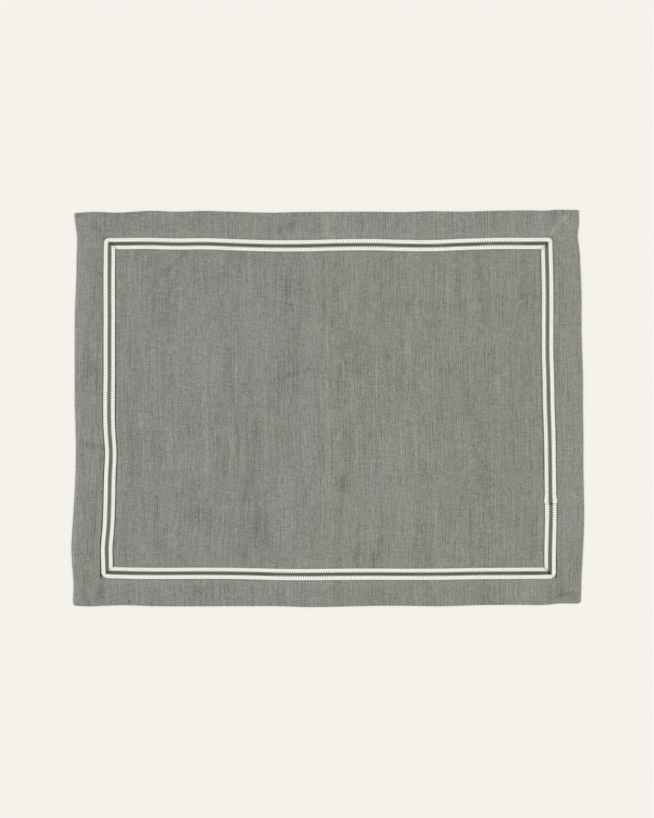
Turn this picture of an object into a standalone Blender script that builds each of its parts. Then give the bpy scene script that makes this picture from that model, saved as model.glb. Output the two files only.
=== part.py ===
"""Cloth placemat with a turned hem and a striped tape sewn on as a border, lying flat.

Metres, with X along the mat's long side, Y along its short side and Z up. The origin is on the
surface that the mat lies on, under the middle of the mat's outline. The picture's top edge is the
far side, at +Y.
"""

import bmesh
import bpy
import numpy as np

MM = 0.001

# Driving sizes of the finished mat
MAT_LENGTH = 450 * MM
MAT_WIDTH = 350 * MM
MIDDLE_THICKNESS = 1.1 * MM
HEM_THICKNESS = 1.7 * MM
HEM_DEPTH = 35 * MM
HEM_RAMP = 4 * MM
RIM_ROUNDING = 0.7 * MM
WIDEST_CORNER = 3.5 * MM

# Driving sizes of the sewn tape
TAPE_INSET = 25 * MM
TAPE_WIDTH = 10 * MM
TAPE_THICKNESS = 0.8 * MM
TAPE_EDGE_BEVEL = 0.3 * MM
TAPE_SHOULDER_LEVEL = 0.6
TAPE_INNER_RADIUS = 0.5 * MM
TAPE_CORNER_STEPS = 4
TAPE_CORNER_MARGIN = 1 * MM
MITRE_FOLD_EXTRA = 0.4 * MM
MITRE_FOLD_REACH = 11 * MM
GAP = 0.3 * MM

# Where the tape's two ends lap, on the right side
LAP_END = -84.4 * MM
LAP_LENGTH = 6.5 * MM
LAP_FADE = 6 * MM
LAP_EXTRA = 0.6 * MM
LAP_BULGE = 0.4 * MM
LAP_STEP = 0.4 * MM

# Rounding of each corner, in mm.
# Columns: side in X, side in Y, radius of the cloth's corner, outer radius of the tape's corner.
CORNERS = (
    (-1, 1, 0.8, 4.5),
    (1, 1, 1.0, 3.6),
    (-1, -1, 2.8, 6.0),
    (1, -1, 3.5, 6.0),
)

# Spacing of the cloth's grid lines in its middle, and the distances in from its edge of two more
LINE_PITCH = 10 * MM
EDGE_LINES = (6 * MM, 15 * MM)

# Spacing of the places at which the outline's extent is read
OUTLINE_PITCH = 0.5 * MM

# Slopes that meet at less than this are shaded smooth
SMOOTH_ANGLE = np.radians(40)

# How each side lies off its straight line, a row for each place along it, in mm.
# Columns: place from the side's middle, shift outwards of the folded edge, shift outwards of the tape.
PLACE, EDGE, TAPE = range(3)
FAR_SIDE = (
    (-222, -1.3, 1.4),
    (-210, -0.4, 1.4),
    (-190, -1.1, 1.4),
    (-158, 0.5, 1.6),
    (-137, -0.2, 1.1),
    (-109, 0.4, 1.3),
    (-84, -0.3, 0.4),
    (-52, -1.1, -0.5),
    (-20, -0.4, -0.4),
    (12, -0.3, 0.3),
    (38, -0.2, 0.5),
    (68, -0.5, -0.2),
    (94, 0.2, -0.3),
    (118, -0.2, 0.6),
    (150, 0.6, 1.6),
    (182, 0.9, 1.6),
    (194, 0.7, 1.7),
    (205, 1.5, 1.7),
    (217, 1.3, 1.7),
)
NEAR_SIDE = (
    (-222, 0.0, 0.2),
    (-211, 0.4, 0.2),
    (-195, -0.2, 0.3),
    (-179, -0.6, 0.8),
    (-158, 0.1, 1.1),
    (-105, 0.3, 1.0),
    (-73, 0.2, 1.3),
    (-41, 0.3, 2.1),
    (-20, 1.0, 2.2),
    (12, 0.6, 1.9),
    (44, -0.1, 1.8),
    (66, -0.1, 1.9),
    (98, 0.3, 1.8),
    (130, -0.6, 1.3),
    (162, -1.0, 1.1),
    (193, -1.1, 0.9),
    (204, -2.2, 0.9),
    (215, -2.1, 0.9),
)
LEFT_SIDE = (
    (-168, 1.4, 1.4),
    (-157, 1.0, 1.4),
    (-136, 2.4, 1.5),
    (-125, 2.9, 1.8),
    (-104, 1.8, 0.2),
    (-82, 0.4, -0.6),
    (-61, -0.6, -1.0),
    (-40, -1.1, -1.9),
    (-18, -0.8, -0.6),
    (3, -0.1, -0.3),
    (24, -0.1, -0.6),
    (56, -0.1, -0.6),
    (83, -0.3, -0.7),
    (109, -1.3, -0.6),
    (136, -1.9, -0.8),
    (152, -2.1, -0.9),
    (163, -0.8, -0.9),
    (173, 0.3, -0.9),
)
RIGHT_SIDE = (
    (-168, -1.1, 1.5),
    (-146, -0.5, 1.6),
    (-125, 0.7, 1.7),
    (-109, 1.4, 2.0),
    (-93, 1.7, 2.2),
    (-72, 1.4, 1.9),
    (-50, 1.0, 1.7),
    (-29, 1.0, 1.4),
    (3, 0.6, 0.4),
    (30, 0.6, -0.1),
    (45, 0.1, -0.6),
    (67, -0.6, -0.7),
    (99, -0.6, -0.6),
    (120, -1.4, -0.9),
    (141, -2.7, -1.4),
    (152, -4.0, -1.5),
    (162, -2.9, -1.5),
    (173, -2.9, -1.5),
)

# Creases, each a soft ridge or, where its height is negative, a soft trough along a straight line, in mm.
# Columns: start X, start Y, end X, end Y, height, half width.
CREASES = (
    (0, 180, 0, -180, 0.30, 5.0),
    (-92, 97, 190, 95, 0.22, 5.0),
    (204, 102, 220, 100, -0.25, 4.0),
    (-60, 27, -6, 36, 0.20, 5.0),
    (-152, 116, -122, 136, 0.20, 5.0),
    (-222, -31, -202, -31, -0.30, 4.0),
    (194, -170, 220, -163, -0.30, 4.0),
    (-202, -158, -200, -169, -0.30, 4.0),
    (206, 156, 219, 169, 0.30, 4.0),
    (-206, 156, -217, 168, 0.25, 4.0),
    (-48, 167, -25, 160, -0.25, 5.0),
)

CLOTH_COLOUR = (0.250, 0.258, 0.224, 1.0)
CLOTH_ROUGHNESS = 0.92
TAPE_COLOUR = (0.80, 0.80, 0.73, 1.0)
TAPE_ROUGHNESS = 0.85


def clear_scene():
    """Remove every object, so that the file starts empty."""
    for thing in list(bpy.data.objects):
        bpy.data.objects.remove(thing, do_unlink=True)


def cloth_material(name, colour, roughness):
    """Make a plain material of one colour for a woven piece."""
    material = bpy.data.materials.new(name)
    material.use_nodes = True
    shader = material.node_tree.nodes["Principled BSDF"]
    shader.inputs["Base Color"].default_value = colour
    shader.inputs["Roughness"].default_value = roughness
    shader.inputs["Metallic"].default_value = 0.0
    return material


def shift_along(side, column, place):
    """Read a column of a side's table at each place, on a smooth cubic curve through its rows."""
    rows = np.array(side) * MM
    knots, values = rows[:, PLACE], rows[:, column]
    slopes = np.gradient(values, knots)
    place = np.clip(place, knots[0], knots[-1])
    i = np.clip(np.searchsorted(knots, place) - 1, 0, len(knots) - 2)
    step = knots[i + 1] - knots[i]
    t = (place - knots[i]) / step
    start = (1 + 2 * t) * (1 - t) ** 2 * values[i] + t * (1 - t) ** 2 * step * slopes[i]
    end = t**2 * (3 - 2 * t) * values[i + 1] - t**2 * (1 - t) * step * slopes[i + 1]
    return start + end


def shift_across(place, along, half, low_side, high_side):
    """Shift a straight mat's point along one axis, from the tables of the two sides that bound it.

    The folded edge and the tape have their own shifts, and the cloth between them takes a share of each.
    """
    tape = half - TAPE_INSET
    edge_low, tape_low = (-shift_along(low_side, column, along) for column in (EDGE, TAPE))
    edge_high, tape_high = (shift_along(high_side, column, along) for column in (EDGE, TAPE))
    inner = tape_low + (tape_high - tape_low) * (np.clip(place, -tape, tape) + tape) / (2 * tape)
    outer_share = np.clip((np.abs(place) - tape) / TAPE_INSET, 0, 1)
    edge = np.where(place > 0, edge_high, edge_low)
    return inner + (edge - inner) * outer_share


def round_corners(x, y):
    """Draw the mat's square corners in to quarter circles, each of its own radius."""
    radius = np.zeros_like(x)
    for side_x, side_y, cloth_radius, _ in CORNERS:
        radius = np.where((x * side_x > 0) & (y * side_y > 0), cloth_radius * MM, radius)
    radius = np.maximum(radius, RIM_ROUNDING)
    u = (np.abs(x) - MAT_LENGTH / 2) / radius + 1
    v = (np.abs(y) - MAT_WIDTH / 2) / radius + 1
    inside = (u > 0) & (v > 0)
    u, v = np.where(inside, u, 1), np.where(inside, v, 1)
    draw = np.where(inside, 1 - np.maximum(u, v) / np.hypot(u, v), 0) * radius
    return x - np.sign(x) * u * draw, y - np.sign(y) * v * draw


def as_laid(x, y):
    """Move points of the straight mat to where they lie in the picture."""
    x, y = round_corners(x, y)
    across = shift_across(x, y, MAT_LENGTH / 2, LEFT_SIDE, RIGHT_SIDE)
    upward = shift_across(y, x, MAT_WIDTH / 2, NEAR_SIDE, FAR_SIDE)
    return x + across, y + upward


def crease_height(x, y):
    """Add up the creases at points of the straight mat."""
    height = np.zeros_like(x)
    for start_x, start_y, end_x, end_y, rise, half_width in np.array(CREASES) * MM:
        run_x, run_y = end_x - start_x, end_y - start_y
        length = np.hypot(run_x, run_y)
        along = ((x - start_x) * run_x + (y - start_y) * run_y) / length
        beyond = along - np.clip(along, 0, length)
        aside = ((y - start_y) * run_x - (x - start_x) * run_y) / length
        height += rise * np.exp(-(aside**2 + beyond**2) / half_width**2)
    return height


def cloth_top(x, y):
    """Give the height of the cloth's upper face: thin in the middle, thicker over the turned hem."""
    from_edge = np.minimum(MAT_LENGTH / 2 - np.abs(x), MAT_WIDTH / 2 - np.abs(y))
    hem_share = np.clip((HEM_DEPTH + HEM_RAMP - from_edge) / HEM_RAMP, 0, 1)
    return MIDDLE_THICKNESS + (HEM_THICKNESS - MIDDLE_THICKNESS) * hem_share + crease_height(x, y)


def outline_middle():
    """Find the middle of the box around the laid mat's outline."""
    along = np.linspace(-MAT_LENGTH / 2, MAT_LENGTH / 2, round(MAT_LENGTH / OUTLINE_PITCH) + 1)
    aside = np.linspace(-MAT_WIDTH / 2, MAT_WIDTH / 2, round(MAT_WIDTH / OUTLINE_PITCH) + 1)
    left = as_laid(np.full_like(aside, -MAT_LENGTH / 2), aside)[0]
    right = as_laid(np.full_like(aside, MAT_LENGTH / 2), aside)[0]
    near = as_laid(along, np.full_like(along, -MAT_WIDTH / 2))[1]
    far = as_laid(along, np.full_like(along, MAT_WIDTH / 2))[1]
    return (left.min() + right.max()) / 2, (near.min() + far.max()) / 2


def grid_lines(half):
    """Place the grid's lines from one edge to the other, with extra ones at the rim, tape and folds."""
    tape_outer, tape_inner = half - TAPE_INSET, half - TAPE_INSET - TAPE_WIDTH
    rim = [half - inset for inset in (RIM_ROUNDING, WIDEST_CORNER, *EDGE_LINES)]
    tape = [tape_outer, (tape_outer + tape_inner) / 2, tape_inner, half - HEM_DEPTH - HEM_RAMP]
    middle = np.arange(0, tape_inner - LINE_PITCH, LINE_PITCH)
    fold = [LINE_PITCH / 2]
    outwards = np.unique(np.round(np.concatenate([rim, tape, middle, fold]), 6))
    return np.concatenate([-outwards[:0:-1], outwards])


def lay_down(mesh, underside, thickness, middle):
    """Turn a flat blank, whose Z is its level from 0 below to 1 above, into the piece as it lies."""
    flat = np.array([vertex.co for vertex in mesh.verts])
    x, y = as_laid(flat[:, 0], flat[:, 1])
    floor = underside(flat[:, 0], flat[:, 1])
    z = floor + flat[:, 2] * thickness(flat[:, 0], flat[:, 1])
    for vertex, place in zip(mesh.verts, np.column_stack([x - middle[0], y - middle[1], z])):
        vertex.co = place


def add_piece(name, mesh, material):
    """Make a named object of the closed mesh, its faces outwards and its slopes shaded smooth."""
    bmesh.ops.recalc_face_normals(mesh, faces=mesh.faces)
    data = bpy.data.meshes.new(name)
    mesh.to_mesh(data)
    mesh.free()
    data.shade_smooth()
    data.set_sharp_from_angle(angle=SMOOTH_ANGLE)
    data.materials.append(material)
    piece = bpy.data.objects.new(name, data)
    bpy.context.scene.collection.objects.link(piece)
    return piece


def cloth_blank():
    """Build the cloth before it is laid: a grid above, a rounded rim and one flat face below."""
    mesh = bmesh.new()
    columns, rows = grid_lines(MAT_LENGTH / 2), grid_lines(MAT_WIDTH / 2)
    grid = [[mesh.verts.new((x, y, 1)) for y in rows] for x in columns]
    for i in range(len(columns) - 1):
        for j in range(len(rows) - 1):
            a, b, c, d = grid[i][j], grid[i + 1][j], grid[i + 1][j + 1], grid[i][j + 1]
            cell_middle = (columns[i] + columns[i + 1]) * (rows[j] + rows[j + 1])
            halves = ((a, b, c), (a, c, d)) if cell_middle > 0 else ((a, b, d), (b, c, d))
            for corners in halves:
                mesh.faces.new(corners)
    rim = [edge for edge in mesh.edges if edge.is_boundary]
    for outwards, level in ((1, 0.5), (-1, 0)):
        made = bmesh.ops.extrude_edge_only(mesh, edges=rim)["geom"]
        for vertex in (part for part in made if isinstance(part, bmesh.types.BMVert)):
            for axis, half in ((0, MAT_LENGTH / 2), (1, MAT_WIDTH / 2)):
                if abs(vertex.co[axis]) > half - 1.5 * RIM_ROUNDING:
                    vertex.co[axis] += np.sign(vertex.co[axis]) * outwards * RIM_ROUNDING
            vertex.co.z = level
        rim = [part for part in made if isinstance(part, bmesh.types.BMEdge) and part.is_boundary]
    bmesh.ops.contextual_create(mesh, geom=rim)
    return mesh


def make_cloth(middle):
    """Make the cloth, one solid with its turned hem, flat underneath."""
    mesh = cloth_blank()
    lay_down(mesh, lambda x, y: np.zeros_like(x), cloth_top, middle)
    return add_piece("cloth", mesh, cloth_material("cloth", CLOTH_COLOUR, CLOTH_ROUGHNESS))


def run_stations(half, beside):
    """List the places of the tape's cross sections along one run, on the cloth's grid lines."""
    reach = half - TAPE_INSET - TAPE_WIDTH - TAPE_CORNER_MARGIN
    lines = grid_lines(half)
    stations = np.concatenate([lines[np.abs(lines) < reach], beside])
    return np.sort(stations)


def tape_path(offset, lap_bulge):
    """Follow the tape's ring at one offset from its inner edge, anticlockwise from the near left corner.

    Each run is straight, and each corner is a quarter circle whose radius grows from the inner edge
    to the outer one with the cube of the offset.
    """
    outer_radius = {(side_x, side_y): radius * MM for side_x, side_y, _, radius in CORNERS}
    outer_share = (offset / TAPE_WIDTH) ** 3
    half_x = MAT_LENGTH / 2 - TAPE_INSET - TAPE_WIDTH + offset
    half_y = MAT_WIDTH / 2 - TAPE_INSET - TAPE_WIDTH + offset
    along_x = run_stations(MAT_LENGTH / 2, [])
    lap = [LAP_END, LAP_END + LAP_STEP, LAP_END + LAP_LENGTH, LAP_END + LAP_LENGTH + LAP_FADE]
    along_y = run_stations(MAT_WIDTH / 2, [])
    right_y = run_stations(MAT_WIDTH / 2, lap)
    bulge = lap_bulge * lap_share(right_y)
    turn = np.linspace(0, np.pi / 2, TAPE_CORNER_STEPS + 1)

    def corner(sign_x, sign_y, start):
        angle = start + turn
        radius = TAPE_INNER_RADIUS + (outer_radius[sign_x, sign_y] - TAPE_INNER_RADIUS) * outer_share
        x = sign_x * (half_x - radius) + radius * np.cos(angle)
        y = sign_y * (half_y - radius) + radius * np.sin(angle)
        return np.column_stack([x, y])

    return np.concatenate(
        [
            corner(-1, -1, np.pi),
            np.column_stack([along_x, np.full_like(along_x, -half_y)]),
            corner(1, -1, -np.pi / 2),
            np.column_stack([half_x + bulge, right_y]),
            corner(1, 1, 0),
            np.column_stack([along_x[::-1], np.full_like(along_x, half_y)]),
            corner(-1, 1, np.pi / 2),
            np.column_stack([np.full_like(along_y, -half_x), along_y[::-1]]),
        ]
    )


def lap_share(y):
    """Give 1 where the tape's folded end lies on its start, 0 past its end and off the lap."""
    rows = [LAP_END, LAP_END + LAP_STEP, LAP_END + LAP_LENGTH, LAP_END + LAP_LENGTH + LAP_FADE]
    return np.interp(y, rows, [0, 1, 1, 0])


def tape_thickness(x, y):
    """Give the tape's thickness, more at its folded corners and where its ends lap."""
    half_x, half_y = MAT_LENGTH / 2 - TAPE_INSET, MAT_WIDTH / 2 - TAPE_INSET
    from_corner = np.maximum(half_x - np.abs(x), half_y - np.abs(y))
    fold = np.clip((MITRE_FOLD_REACH - from_corner) / TAPE_WIDTH, 0, 1) * MITRE_FOLD_EXTRA
    lap = np.where(x > half_x - 2 * TAPE_WIDTH, lap_share(y), 0) * LAP_EXTRA
    return TAPE_THICKNESS + fold + lap


def tape_blank():
    """Build the tape before it is laid: its cross section carried round the ring."""
    middle_offset = TAPE_WIDTH / 2
    section = (
        (0, 0, -LAP_BULGE),
        (middle_offset, 0, 0),
        (TAPE_WIDTH, 0, LAP_BULGE),
        (TAPE_WIDTH, TAPE_SHOULDER_LEVEL, LAP_BULGE),
        (TAPE_WIDTH - TAPE_EDGE_BEVEL, 1, LAP_BULGE),
        (middle_offset, 1, 0),
        (TAPE_EDGE_BEVEL, 1, -LAP_BULGE),
        (0, TAPE_SHOULDER_LEVEL, -LAP_BULGE),
    )
    mesh = bmesh.new()
    loops = []
    for offset, level, bulge in section:
        path = tape_path(offset, bulge)
        loops.append([mesh.verts.new((x, y, level)) for x, y in path])
    for this, following in zip(loops, loops[1:] + loops[:1]):
        for k in range(len(this)):
            after = (k + 1) % len(this)
            mesh.faces.new((this[k], this[after], following[after], following[k]))
    return mesh


def make_tape(middle):
    """Make the tape, one ring that lies just clear of the cloth's upper face."""
    mesh = tape_blank()
    lay_down(mesh, lambda x, y: cloth_top(x, y) + GAP, tape_thickness, middle)
    return add_piece("tape", mesh, cloth_material("tape", TAPE_COLOUR, TAPE_ROUGHNESS))


def build_placemat():
    """Build both pieces around the middle of the mat's outline."""
    clear_scene()
    middle = outline_middle()
    make_cloth(middle)
    make_tape(middle)


build_placemat()
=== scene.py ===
"""Looks of an oblong cloth placemat with a turned hem and a striped tape border, lying flat.

Lengths are in metres unless a name or a table's heading says mm. X runs along the mat's long side,
Y along its short side to the far edge, and Z up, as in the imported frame. "Straight" places are those
of a perfectly oblong mat, and the mat as it lies is worked out from them.
"""

from __future__ import annotations

import logging
from dataclasses import dataclass
from enum import Enum

import bpy
import numpy as np
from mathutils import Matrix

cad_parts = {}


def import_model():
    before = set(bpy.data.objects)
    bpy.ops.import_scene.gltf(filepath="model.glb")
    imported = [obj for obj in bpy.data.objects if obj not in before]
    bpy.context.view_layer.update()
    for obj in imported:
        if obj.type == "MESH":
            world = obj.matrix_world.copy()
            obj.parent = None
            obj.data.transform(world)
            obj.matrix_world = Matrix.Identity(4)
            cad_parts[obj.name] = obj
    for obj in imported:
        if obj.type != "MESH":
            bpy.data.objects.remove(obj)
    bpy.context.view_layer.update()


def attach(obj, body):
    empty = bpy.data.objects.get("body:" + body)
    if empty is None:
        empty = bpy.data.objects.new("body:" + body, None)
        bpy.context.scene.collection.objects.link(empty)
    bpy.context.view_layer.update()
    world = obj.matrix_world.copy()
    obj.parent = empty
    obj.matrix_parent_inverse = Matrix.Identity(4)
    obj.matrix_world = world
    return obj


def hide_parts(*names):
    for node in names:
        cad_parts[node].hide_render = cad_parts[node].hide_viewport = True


MM = 0.001
PIXEL = 0.8875 * MM
PHOTO_SIZE_PX = (654, 818)
MAT_MIDDLE_PX = (327.8, 408.4)
LOG = logging.getLogger("placemat")

Array = np.ndarray
Socket = bpy.types.NodeSocket
Entry = Socket | float | tuple

# The factor and offset that spread a noise from 0..1 to about -1..1.
NOISE_SPREAD = (4.0, -2.0)

# How each side lies off its straight line, in mm.
# Columns: place from the side's middle, shift outwards of the folded edge, shift outwards of the tape.
FAR_SIDE = (
    (-222, -1.3, 1.4),
    (-210, -0.4, 1.4),
    (-190, -1.1, 1.4),
    (-158, 0.5, 1.6),
    (-137, -0.2, 1.1),
    (-109, 0.4, 1.3),
    (-84, -0.3, 0.4),
    (-52, -1.1, -0.5),
    (-20, -0.4, -0.4),
    (12, -0.3, 0.3),
    (38, -0.2, 0.5),
    (68, -0.5, -0.2),
    (94, 0.2, -0.3),
    (118, -0.2, 0.6),
    (150, 0.6, 1.6),
    (182, 0.9, 1.6),
    (194, 0.7, 1.7),
    (205, 1.5, 1.7),
    (217, 1.3, 1.7),
)
NEAR_SIDE = (
    (-222, 0.0, 0.2),
    (-211, 0.4, 0.2),
    (-195, -0.2, 0.3),
    (-179, -0.6, 0.8),
    (-158, 0.1, 1.1),
    (-105, 0.3, 1.0),
    (-73, 0.2, 1.3),
    (-41, 0.3, 2.1),
    (-20, 1.0, 2.2),
    (12, 0.6, 1.9),
    (44, -0.1, 1.8),
    (66, -0.1, 1.9),
    (98, 0.3, 1.8),
    (130, -0.6, 1.3),
    (162, -1.0, 1.1),
    (193, -1.1, 0.9),
    (204, -2.2, 0.9),
    (215, -2.1, 0.9),
)
LEFT_SIDE = (
    (-168, 1.4, 1.4),
    (-157, 1.0, 1.4),
    (-136, 2.4, 1.5),
    (-125, 2.9, 1.8),
    (-104, 1.8, 0.2),
    (-82, 0.4, -0.6),
    (-61, -0.6, -1.0),
    (-40, -1.1, -1.9),
    (-18, -0.8, -0.6),
    (3, -0.1, -0.3),
    (24, -0.1, -0.6),
    (56, -0.1, -0.6),
    (83, -0.3, -0.7),
    (109, -1.3, -0.6),
    (136, -1.9, -0.8),
    (152, -2.1, -0.9),
    (163, -0.8, -0.9),
    (173, 0.3, -0.9),
)
RIGHT_SIDE = (
    (-168, -1.1, 1.5),
    (-146, -0.5, 1.6),
    (-125, 0.7, 1.7),
    (-109, 1.4, 2.0),
    (-93, 1.7, 2.2),
    (-72, 1.4, 1.9),
    (-50, 1.0, 1.7),
    (-29, 1.0, 1.4),
    (3, 0.6, 0.4),
    (30, 0.6, -0.1),
    (45, 0.1, -0.6),
    (67, -0.6, -0.7),
    (99, -0.6, -0.6),
    (120, -1.4, -0.9),
    (141, -2.7, -1.4),
    (152, -4.0, -1.5),
    (162, -2.9, -1.5),
    (173, -2.9, -1.5),
)

# Rounding of each corner, in mm, and the tape's fold there.
# Columns: side in X, side in Y, radius of the cloth's corner, outer radius of the tape's corner,
# darkness of the painted shade in the fold, distance of the fold's line from the mitre into the long run.
CORNERS = (
    (-1, 1, 0.8, 4.5, 1.00, 1.2),
    (1, 1, 1.0, 3.6, 1.00, -0.8),
    (-1, -1, 2.8, 6.0, 0.75, 0.0),
    (1, -1, 3.5, 6.0, 1.25, 0.0),
)

# Creases pressed or rumpled into the cloth, each along a straight line, in mm.
# Columns: start X, start Y, end X, end Y, height (a trough where negative), half width.
CREASES = (
    (0, 180, 0, -180, 0.30, 5.0),
    (0, 180, 0, -180, 0.14, 0.9),
    (-92, 97, -30, 94, 0.18, 4.0),
    (-30, 94, 75, 93, 0.24, 4.0),
    (75, 93, 190, 99, 0.24, 4.0),
    (60, 92, 118, 93, -0.10, 1.2),
    (118, 93, 190, 99, -0.12, 1.1),
    (204, 102, 221, 100, -0.25, 2.2),
    (-54, 22, -36, 31, -0.16, 2.4),
    (-36, 31, -18, 36, -0.20, 2.4),
    (-18, 36, -1, 36, -0.18, 2.2),
    (-149, 118, -125, 138, -0.24, 2.2),
    (-221, -30, -200, -37, -0.34, 2.4),
    (-205, -36, -196, -39, -0.25, 2.0),
    (195, -170, 206, -166, -0.34, 2.2),
    (206, -166, 220, -164, -0.32, 2.4),
    (-200, -157, -203, -169, -0.34, 2.4),
    (-199, -165, -221, -167, -0.16, 3.0),
    (-204, 154, -219, 169, 0.20, 2.6),
    (199, 153, 213, 169, 0.34, 2.0),
    (200, -154, 219, -168, 0.20, 2.6),
    (-46, 156, -27, 167, -0.26, 3.0),
    (-215, 36, -207, 36, -0.22, 2.6),
    (9, -62, 13, -70, -0.18, 3.6),
)

# Marks on the cloth's face, each along a line between two places, in mm: darker and lighter patches, and
# painted shade in the creases' troughs with painted highlight on their ridges.
# Columns: start X, start Y, end X, end Y, half width, tone (steps of brightness), warmth.
MARKS_AND_CREASE_SHADING = (
    (-0.9, 175, -0.9, -175, 1.3, 4.0, 0.10),
    (-9, 175, -9, -175, 9.0, 1.0, 0.0),
    (9.8, 140, 9.8, -140, 3.4, -3.0, 0.10),
    (-1, 70, -1, 6, 1.0, 4.0, 0.0),
    (1.6, 72, 1.6, 6, 0.9, -5.0, 0.0),
    (1.8, -20, 1.8, -60, 1.2, -3.5, 0.0),
    (-1, 172, -1, 152, 5.5, 8.0, 0.05),
    (-0.5, -155, -0.5, -172, 4.0, 3.0, 0.0),
    (5, 122, 14, 94, 5.0, 0.0, 0.45),
    (5, -70, 5, -120, 5.0, 0.0, 0.25),
    (10.7, -62, 10.7, -69, 3.4, -14.0, 0.15),
    (10.7, -60, 10.7, -71, 8.5, -3.5, 0.0),
    (84, -51, 84, -64, 4.2, -9.5, 0.0),
    (-153.5, -80, -153.5, -97, 2.6, -8.0, 0.0),
    (-116.5, -89, -116.5, -101, 2.2, -13.0, 0.0),
    (-74, -62, -73, -79, 6.0, -6.0, 0.0),
    (-63, -99, -63, -113, 7.0, -8.0, 0.0),
    (-75.5, -126, -75.5, -136, 4.0, -7.0, 0.0),
    (-58, -124, -58, -135, 4.0, -5.0, 0.0),
    (-25, -103, -25, -110, 3.0, -3.5, 0.0),
    (24, -122, 24, -135, 3.5, -10.0, 0.0),
    (39.5, -128, 39.5, -137, 3.0, -14.5, 0.0),
    (179, -100, 179, -131, 2.2, -8.0, 0.0),
    (-220, -30, -200, -37, 2.0, -10.0, 0.0),
    (-222, -21, -203, -28, 5.0, 3.0, 0.0),
    (-211, 39, -211, 33, 2.4, -13.0, 0.0),
    (-204, 47, -204, 42, 2.6, 7.0, 0.0),
    (-45, 156.5, -27.5, 167, 3.0, -7.0, 0.0),
    (-123, 167, -117, 167, 5.0, -5.0, 0.0),
    (-200, 163, -192, 165, 4.0, -3.5, 0.15),
    (-211, 163, -199, 154, 3.2, -4.5, 0.25),
    (199, 154, 212.5, 168.5, 2.0, 18.0, 0.0),
    (204, 150, 216, 161, 6.0, 2.5, 0.0),
    (195.5, -170, 206, -166, 1.7, -13.0, 0.0),
    (206, -166, 219.5, -164, 1.9, -11.0, 0.0),
    (202, -156, 218, -169, 2.5, -4.0, 0.0),
    (-200, -157, -202.5, -168.5, 2.8, -10.0, 0.1),
    (-214, -141, -210, -141, 2.2, 6.0, 0.0),
    (-216, -151, -210, -151, 4.0, -4.0, 0.0),
    (-38, 116, -38, 85, 1.7, -18.0, 0.0),
    (-89, 134, -75, 134, 3.0, -6.0, 0.0),
    (-96, 118, -96, 111, 3.0, -5.0, 0.0),
    (-72, 93.5, 0, 95, 1.6, -2.0, 0.0),
    (64, 94, 118, 94, 2.0, -4.5, 0.0),
    (118, 94.5, 188, 99.5, 1.8, -4.5, 0.0),
    (10, 108, 188, 107, 6.0, 1.6, 0.0),
    (88, 90, 117, 89, 4.5, -4.0, 0.0),
    (-54, 22.5, -36, 31, 2.2, -6.5, 0.0),
    (-36, 31, -18.5, 35.5, 2.2, -6.0, 0.0),
    (-18.5, 35.5, -1, 35.5, 1.8, -8.0, 0.0),
    (-125, 138, -149, 118, 1.9, -7.5, 0.0),
    (26, -47.5, 34, -47.5, 6.0, 4.5, 0.0),
    (-140, -15, -140, -33, 2.2, 4.5, 0.0),
    (-131, -41, -131, -48, 3.0, 9.5, 0.0),
    (146.5, 50, 146.5, 32, 3.2, -4.0, 0.0),
    (123.5, 14, 123.5, -3, 3.6, -11.5, 0.0),
    (120, -26, 120, -48, 3.0, -3.5, 0.0),
    (203, 101, 221, 101.5, 1.6, -4.0, 0.0),
    (205, 36, 211, 36, 5.0, -2.0, 0.0),
    (-208, -100, -212, -150, 6.0, -2.0, 0.1),
    (-120, 60, -150, -10, 26.0, 1.2, -0.15),
    (-60, -60, -120, -110, 30.0, -0.6, -0.15),
    (120, 40, 170, -60, 34.0, -1.0, 0.20),
    (60, -20, 90, -90, 26.0, 0.8, 0.15),
)

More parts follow.
